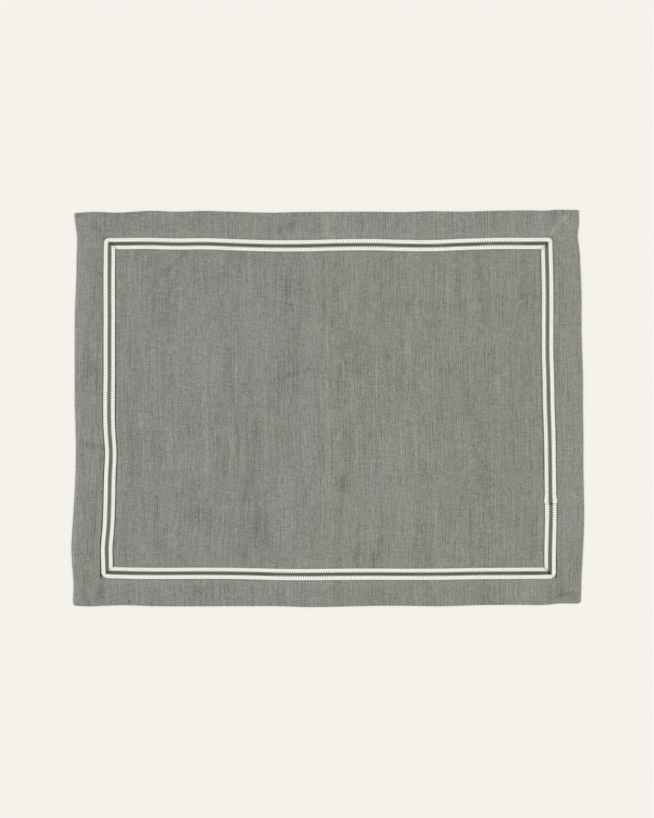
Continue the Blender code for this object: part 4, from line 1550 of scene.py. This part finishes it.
@dataclass
class EdgeStitching:
    """Two rows of lockstitch along the tape's edges, on the face and on the back."""

    tape: BorderTape
    pitch: float = 2.12 * MM
    length: float = 1.75 * MM
    radius: float = 0.13 * MM
    arch: float = 0.10 * MM
    sides: int = 6
    rings: tuple = (-0.82, -0.4, 0.4, 0.82)
    jitter: float = 0.05 * MM
    seed: int = 21
    back_height: float = 0.13 * MM

    def stitch_shape(self) -> tuple[Array, Array, Array]:
        """Build one stitch: a short tapering bar with rounded ends, about its own middle.

        Returns:
            The points as (along, aside, up) shares, its quads and its triangles.
        """
        t = np.array(self.rings)
        angle = np.arange(self.sides) * 2 * np.pi / self.sides
        width = np.sqrt(1 - (t * 0.95) ** 4)[:, None]
        columns = (t[:, None], width * np.cos(angle), width * np.sin(angle))
        body = np.stack(np.broadcast_arrays(*columns), axis=-1)
        points = np.concatenate([body.reshape(-1, 3), [[-1, 0, 0], [1, 0, 0]]])
        ring = np.arange(len(t) * self.sides).reshape(len(t), self.sides)
        after = np.roll(ring, -1, axis=1)
        quads = np.stack([ring[:-1], ring[1:], after[1:], after[:-1]], axis=-1).reshape(-1, 4)
        tip = len(points) - 1
        start = np.column_stack([np.full(self.sides, tip - 1), ring[0], after[0]])
        end = np.column_stack([np.full(self.sides, tip), after[-1], ring[-1]])
        return points, quads, np.concatenate([start, end])

    def row_stitches(self, run: Run, offset: float) -> Array:
        """Place the stitches' middles along one run, evenly from corner to corner."""
        half, _ = self.tape.inner_half(run)
        reach = half + offset
        count = int(round(2 * reach / self.pitch))
        return (np.arange(count) + 0.5) / count * 2 * reach - reach

    def run_points(self, run: Run, offset: float, shape: Array, face: bool) -> tuple[Array, Array]:
        """Place every stitch of one row on one run.

        A point at the share t along its stitch stands arch * (1 - t^2) - dip * t^4 over the tape's
        surface, plus its share of the thread's radius.

        Args:
            run: which of the tape's runs.
            offset: the row's distance from the tape's inner edge.
            shape: one stitch's points.
            face: whether the row is on the mat's face or on its back.

        Returns:
            The points of each stitch, and each point's straight distance along the run.
        """
        random = np.random.default_rng(self.seed + 10 * run.value + int(offset / MM) + 100 * face)
        middles = self.row_stitches(run, offset)[:, None]
        lean = random.normal(0, self.jitter, (len(middles), 1))
        sway = random.normal(0, self.jitter * 0.6, (len(middles), 1))
        t, aside, up = (shape[None, :, k] for k in range(3))
        along = middles + t * self.length / 2
        across = offset + sway + lean * t + aside * self.radius
        x, y = self.tape.straight_place(run, along, across)
        laid_x, laid_y = self.tape.mat.as_laid(x, y)
        arch = self.arch * (1 - t**2) - self.radius * t**4 * 1.4
        if face:
            surface = self.tape.mat.top(x, y) + self.tape.rise(run, along, across) - self.tape.row_dip
            z = surface + arch + up * self.radius
        else:
            z = np.broadcast_to(self.back_height - arch * 0.4 + up * self.radius * 0.8, x.shape)
            z = np.maximum(z, 0.01 * MM)
        return np.stack([laid_x, laid_y, z], axis=-1), np.broadcast_to(along, x.shape)

    def mesh(self, name: str, face: bool) -> bpy.types.Mesh:
        """Join all the stitches of one side of the mat.

        Args:
            name: the mesh's name.
            face: whether they are on the mat's face or on its back.

        Returns:
            The mesh, with what its material reads and the layout of its pictures.
        """
        shape, quads, triangles = self.stitch_shape()
        offsets = (self.tape.row_inset, self.tape.mat.tape_width - self.tape.row_inset)
        rows = [self.run_points(run, offset, shape, face) for run in Run for offset in offsets]
        points = np.concatenate([part for part, _ in rows])
        along = np.concatenate([part for _, part in rows])
        first = np.arange(len(points))[:, None, None] * len(shape)
        faces = [(first + part[None]).reshape(-1, part.shape[1]) for part in (quads, triangles)]
        mesh = new_mesh(name, points.reshape(-1, 3), faces)
        add_number(mesh, "along_mm", along.ravel() / MM)
        around = np.arctan2(shape[:, 2], shape[:, 1])
        add_number(mesh, "around", np.tile(around, len(points)))
        add_bake_map(mesh, self.bake_map(len(points), shape, faces))
        return mesh

    def bake_map(self, count: int, shape: Array, faces: list[Array]) -> Array:
        """Give each stitch a cell of its own on the square, seen from above and slightly opened."""
        columns = int(np.ceil(np.sqrt(count / 4)))
        rows = -(-count // columns)
        stitch = np.arange(count)
        open_side = shape[:, 1] * (1 + 0.8 * (shape[:, 2] < -0.1)) / 2
        u = (stitch[:, None] % columns + 0.5 + 0.46 * shape[None, :, 0]) / columns
        v = (stitch[:, None] // columns + 0.5 + 0.46 * open_side[None, :]) / rows
        flat = np.stack([u, v], axis=-1).reshape(-1, 2)
        return np.concatenate([flat[part.ravel()] for part in faces])

    def build(self, material: bpy.types.Material) -> list[bpy.types.Object]:
        """Make the two pieces, one for the mat's face and one for its back."""
        pieces = []
        for name, face in (("face_stitching", True), ("back_stitching", False)):
            piece = link_piece(name, self.mesh(name, face), material)
            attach(piece, "root")
            pieces.append(piece)
        return pieces


@dataclass
class Studio:
    """The plain pale floor, the soft light from both sides and the camera straight above."""

    floor_side: float = 6.0
    floor_drop: float = 0.05 * MM
    floor_colour: tuple = (0.870, 0.846, 0.792, 1.0)
    camera_height: float = 3.2
    sensor: float = 36.0
    lamp_tilt: float = 30.0
    lamp_spread: float = 34.0
    lamp_strength: float = 1.26
    fill: float = 0.36

    def floor(self) -> bpy.types.Object:
        """Lay the floor just under the mat."""
        half = self.floor_side / 2
        corners = np.array([(-half, -half), (half, -half), (half, half), (-half, half)])
        points = np.column_stack([corners, np.full(4, -self.floor_drop)])
        material, wire, shader = new_material("pale_floor")
        entries = {"Base Color": self.floor_colour, "Roughness": 0.95, "Specular IOR Level": 0.0}
        wire.fill(shader, entries)
        floor = link_piece("floor", new_mesh("floor", points, [np.array([[0, 1, 2, 3]])]), material)
        return floor

    def light(self) -> None:
        """Light the mat evenly from the left and the right, with a soft fill from all around."""
        for name, side in (("left", -1), ("right", 1)):
            lamp = bpy.data.lights.new(f"{name}_lamp", "SUN")
            lamp.energy = self.lamp_strength
            lamp.angle = np.radians(self.lamp_spread)
            holder = bpy.data.objects.new(f"{name}_lamp", lamp)
            holder.rotation_euler = (0, side * np.radians(self.lamp_tilt), 0)
            holder.location = (side, 0, 1)
            bpy.context.scene.collection.objects.link(holder)
        world = bpy.data.worlds.new("soft_fill")
        world.use_nodes = True
        background = world.node_tree.nodes["Background"]
        background.inputs["Color"].default_value = (1.0, 1.0, 1.0, 1.0)
        background.inputs["Strength"].default_value = self.fill
        bpy.context.scene.world = world

    def camera(self) -> bpy.types.Object:
        """Aim the camera straight down, so that its frame covers what the photograph does."""
        data = bpy.data.cameras.new("camera")
        data.sensor_width = self.sensor
        data.lens = self.sensor * self.camera_height / (PHOTO_SIZE_PX[1] * PIXEL)
        data.clip_end = 50.0
        camera = bpy.data.objects.new("camera", data)
        off_x = (PHOTO_SIZE_PX[0] / 2 - MAT_MIDDLE_PX[0]) * PIXEL
        off_y = (MAT_MIDDLE_PX[1] - PHOTO_SIZE_PX[1] / 2) * PIXEL
        camera.location = (off_x, off_y, self.camera_height)
        bpy.context.scene.collection.objects.link(camera)
        bpy.context.scene.camera = camera
        return camera

    def set_view(self) -> None:
        """Show colours as they are, without a film curve."""
        view = bpy.context.scene.view_settings
        view.view_transform = "Standard"
        view.look = "None"
        view.exposure = 0.0
        view.gamma = 1.0


def report(piece: bpy.types.Object) -> None:
    """Log a piece's name and how many faces it has."""
    LOG.info("%s: %d faces", piece.name, len(piece.data.polygons))


def main() -> None:
    """Build the studio, the cloth, the tape and the stitching, each attached to the root body, and log their
    faces.
    """
    logging.basicConfig(level=logging.INFO, format="%(message)s")
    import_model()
    studio = Studio()
    studio.floor()
    studio.light()
    studio.camera()
    studio.set_view()

    mat = LaidMat()
    mottle, weave = mottle_group(), weave_group()
    cloth = HemmedCloth(mat).build(SlubbyWeave().build(mottle, weave))
    report(cloth)
    border = BorderTape(mat)
    tape = border.build(RibbedTapeFinish().build(mottle))
    report(tape)
    stitching = EdgeStitching(border).build(ThreadFinish().build(mottle))
    for piece in stitching:
        report(piece)


if __name__ == "__main__":
    main()
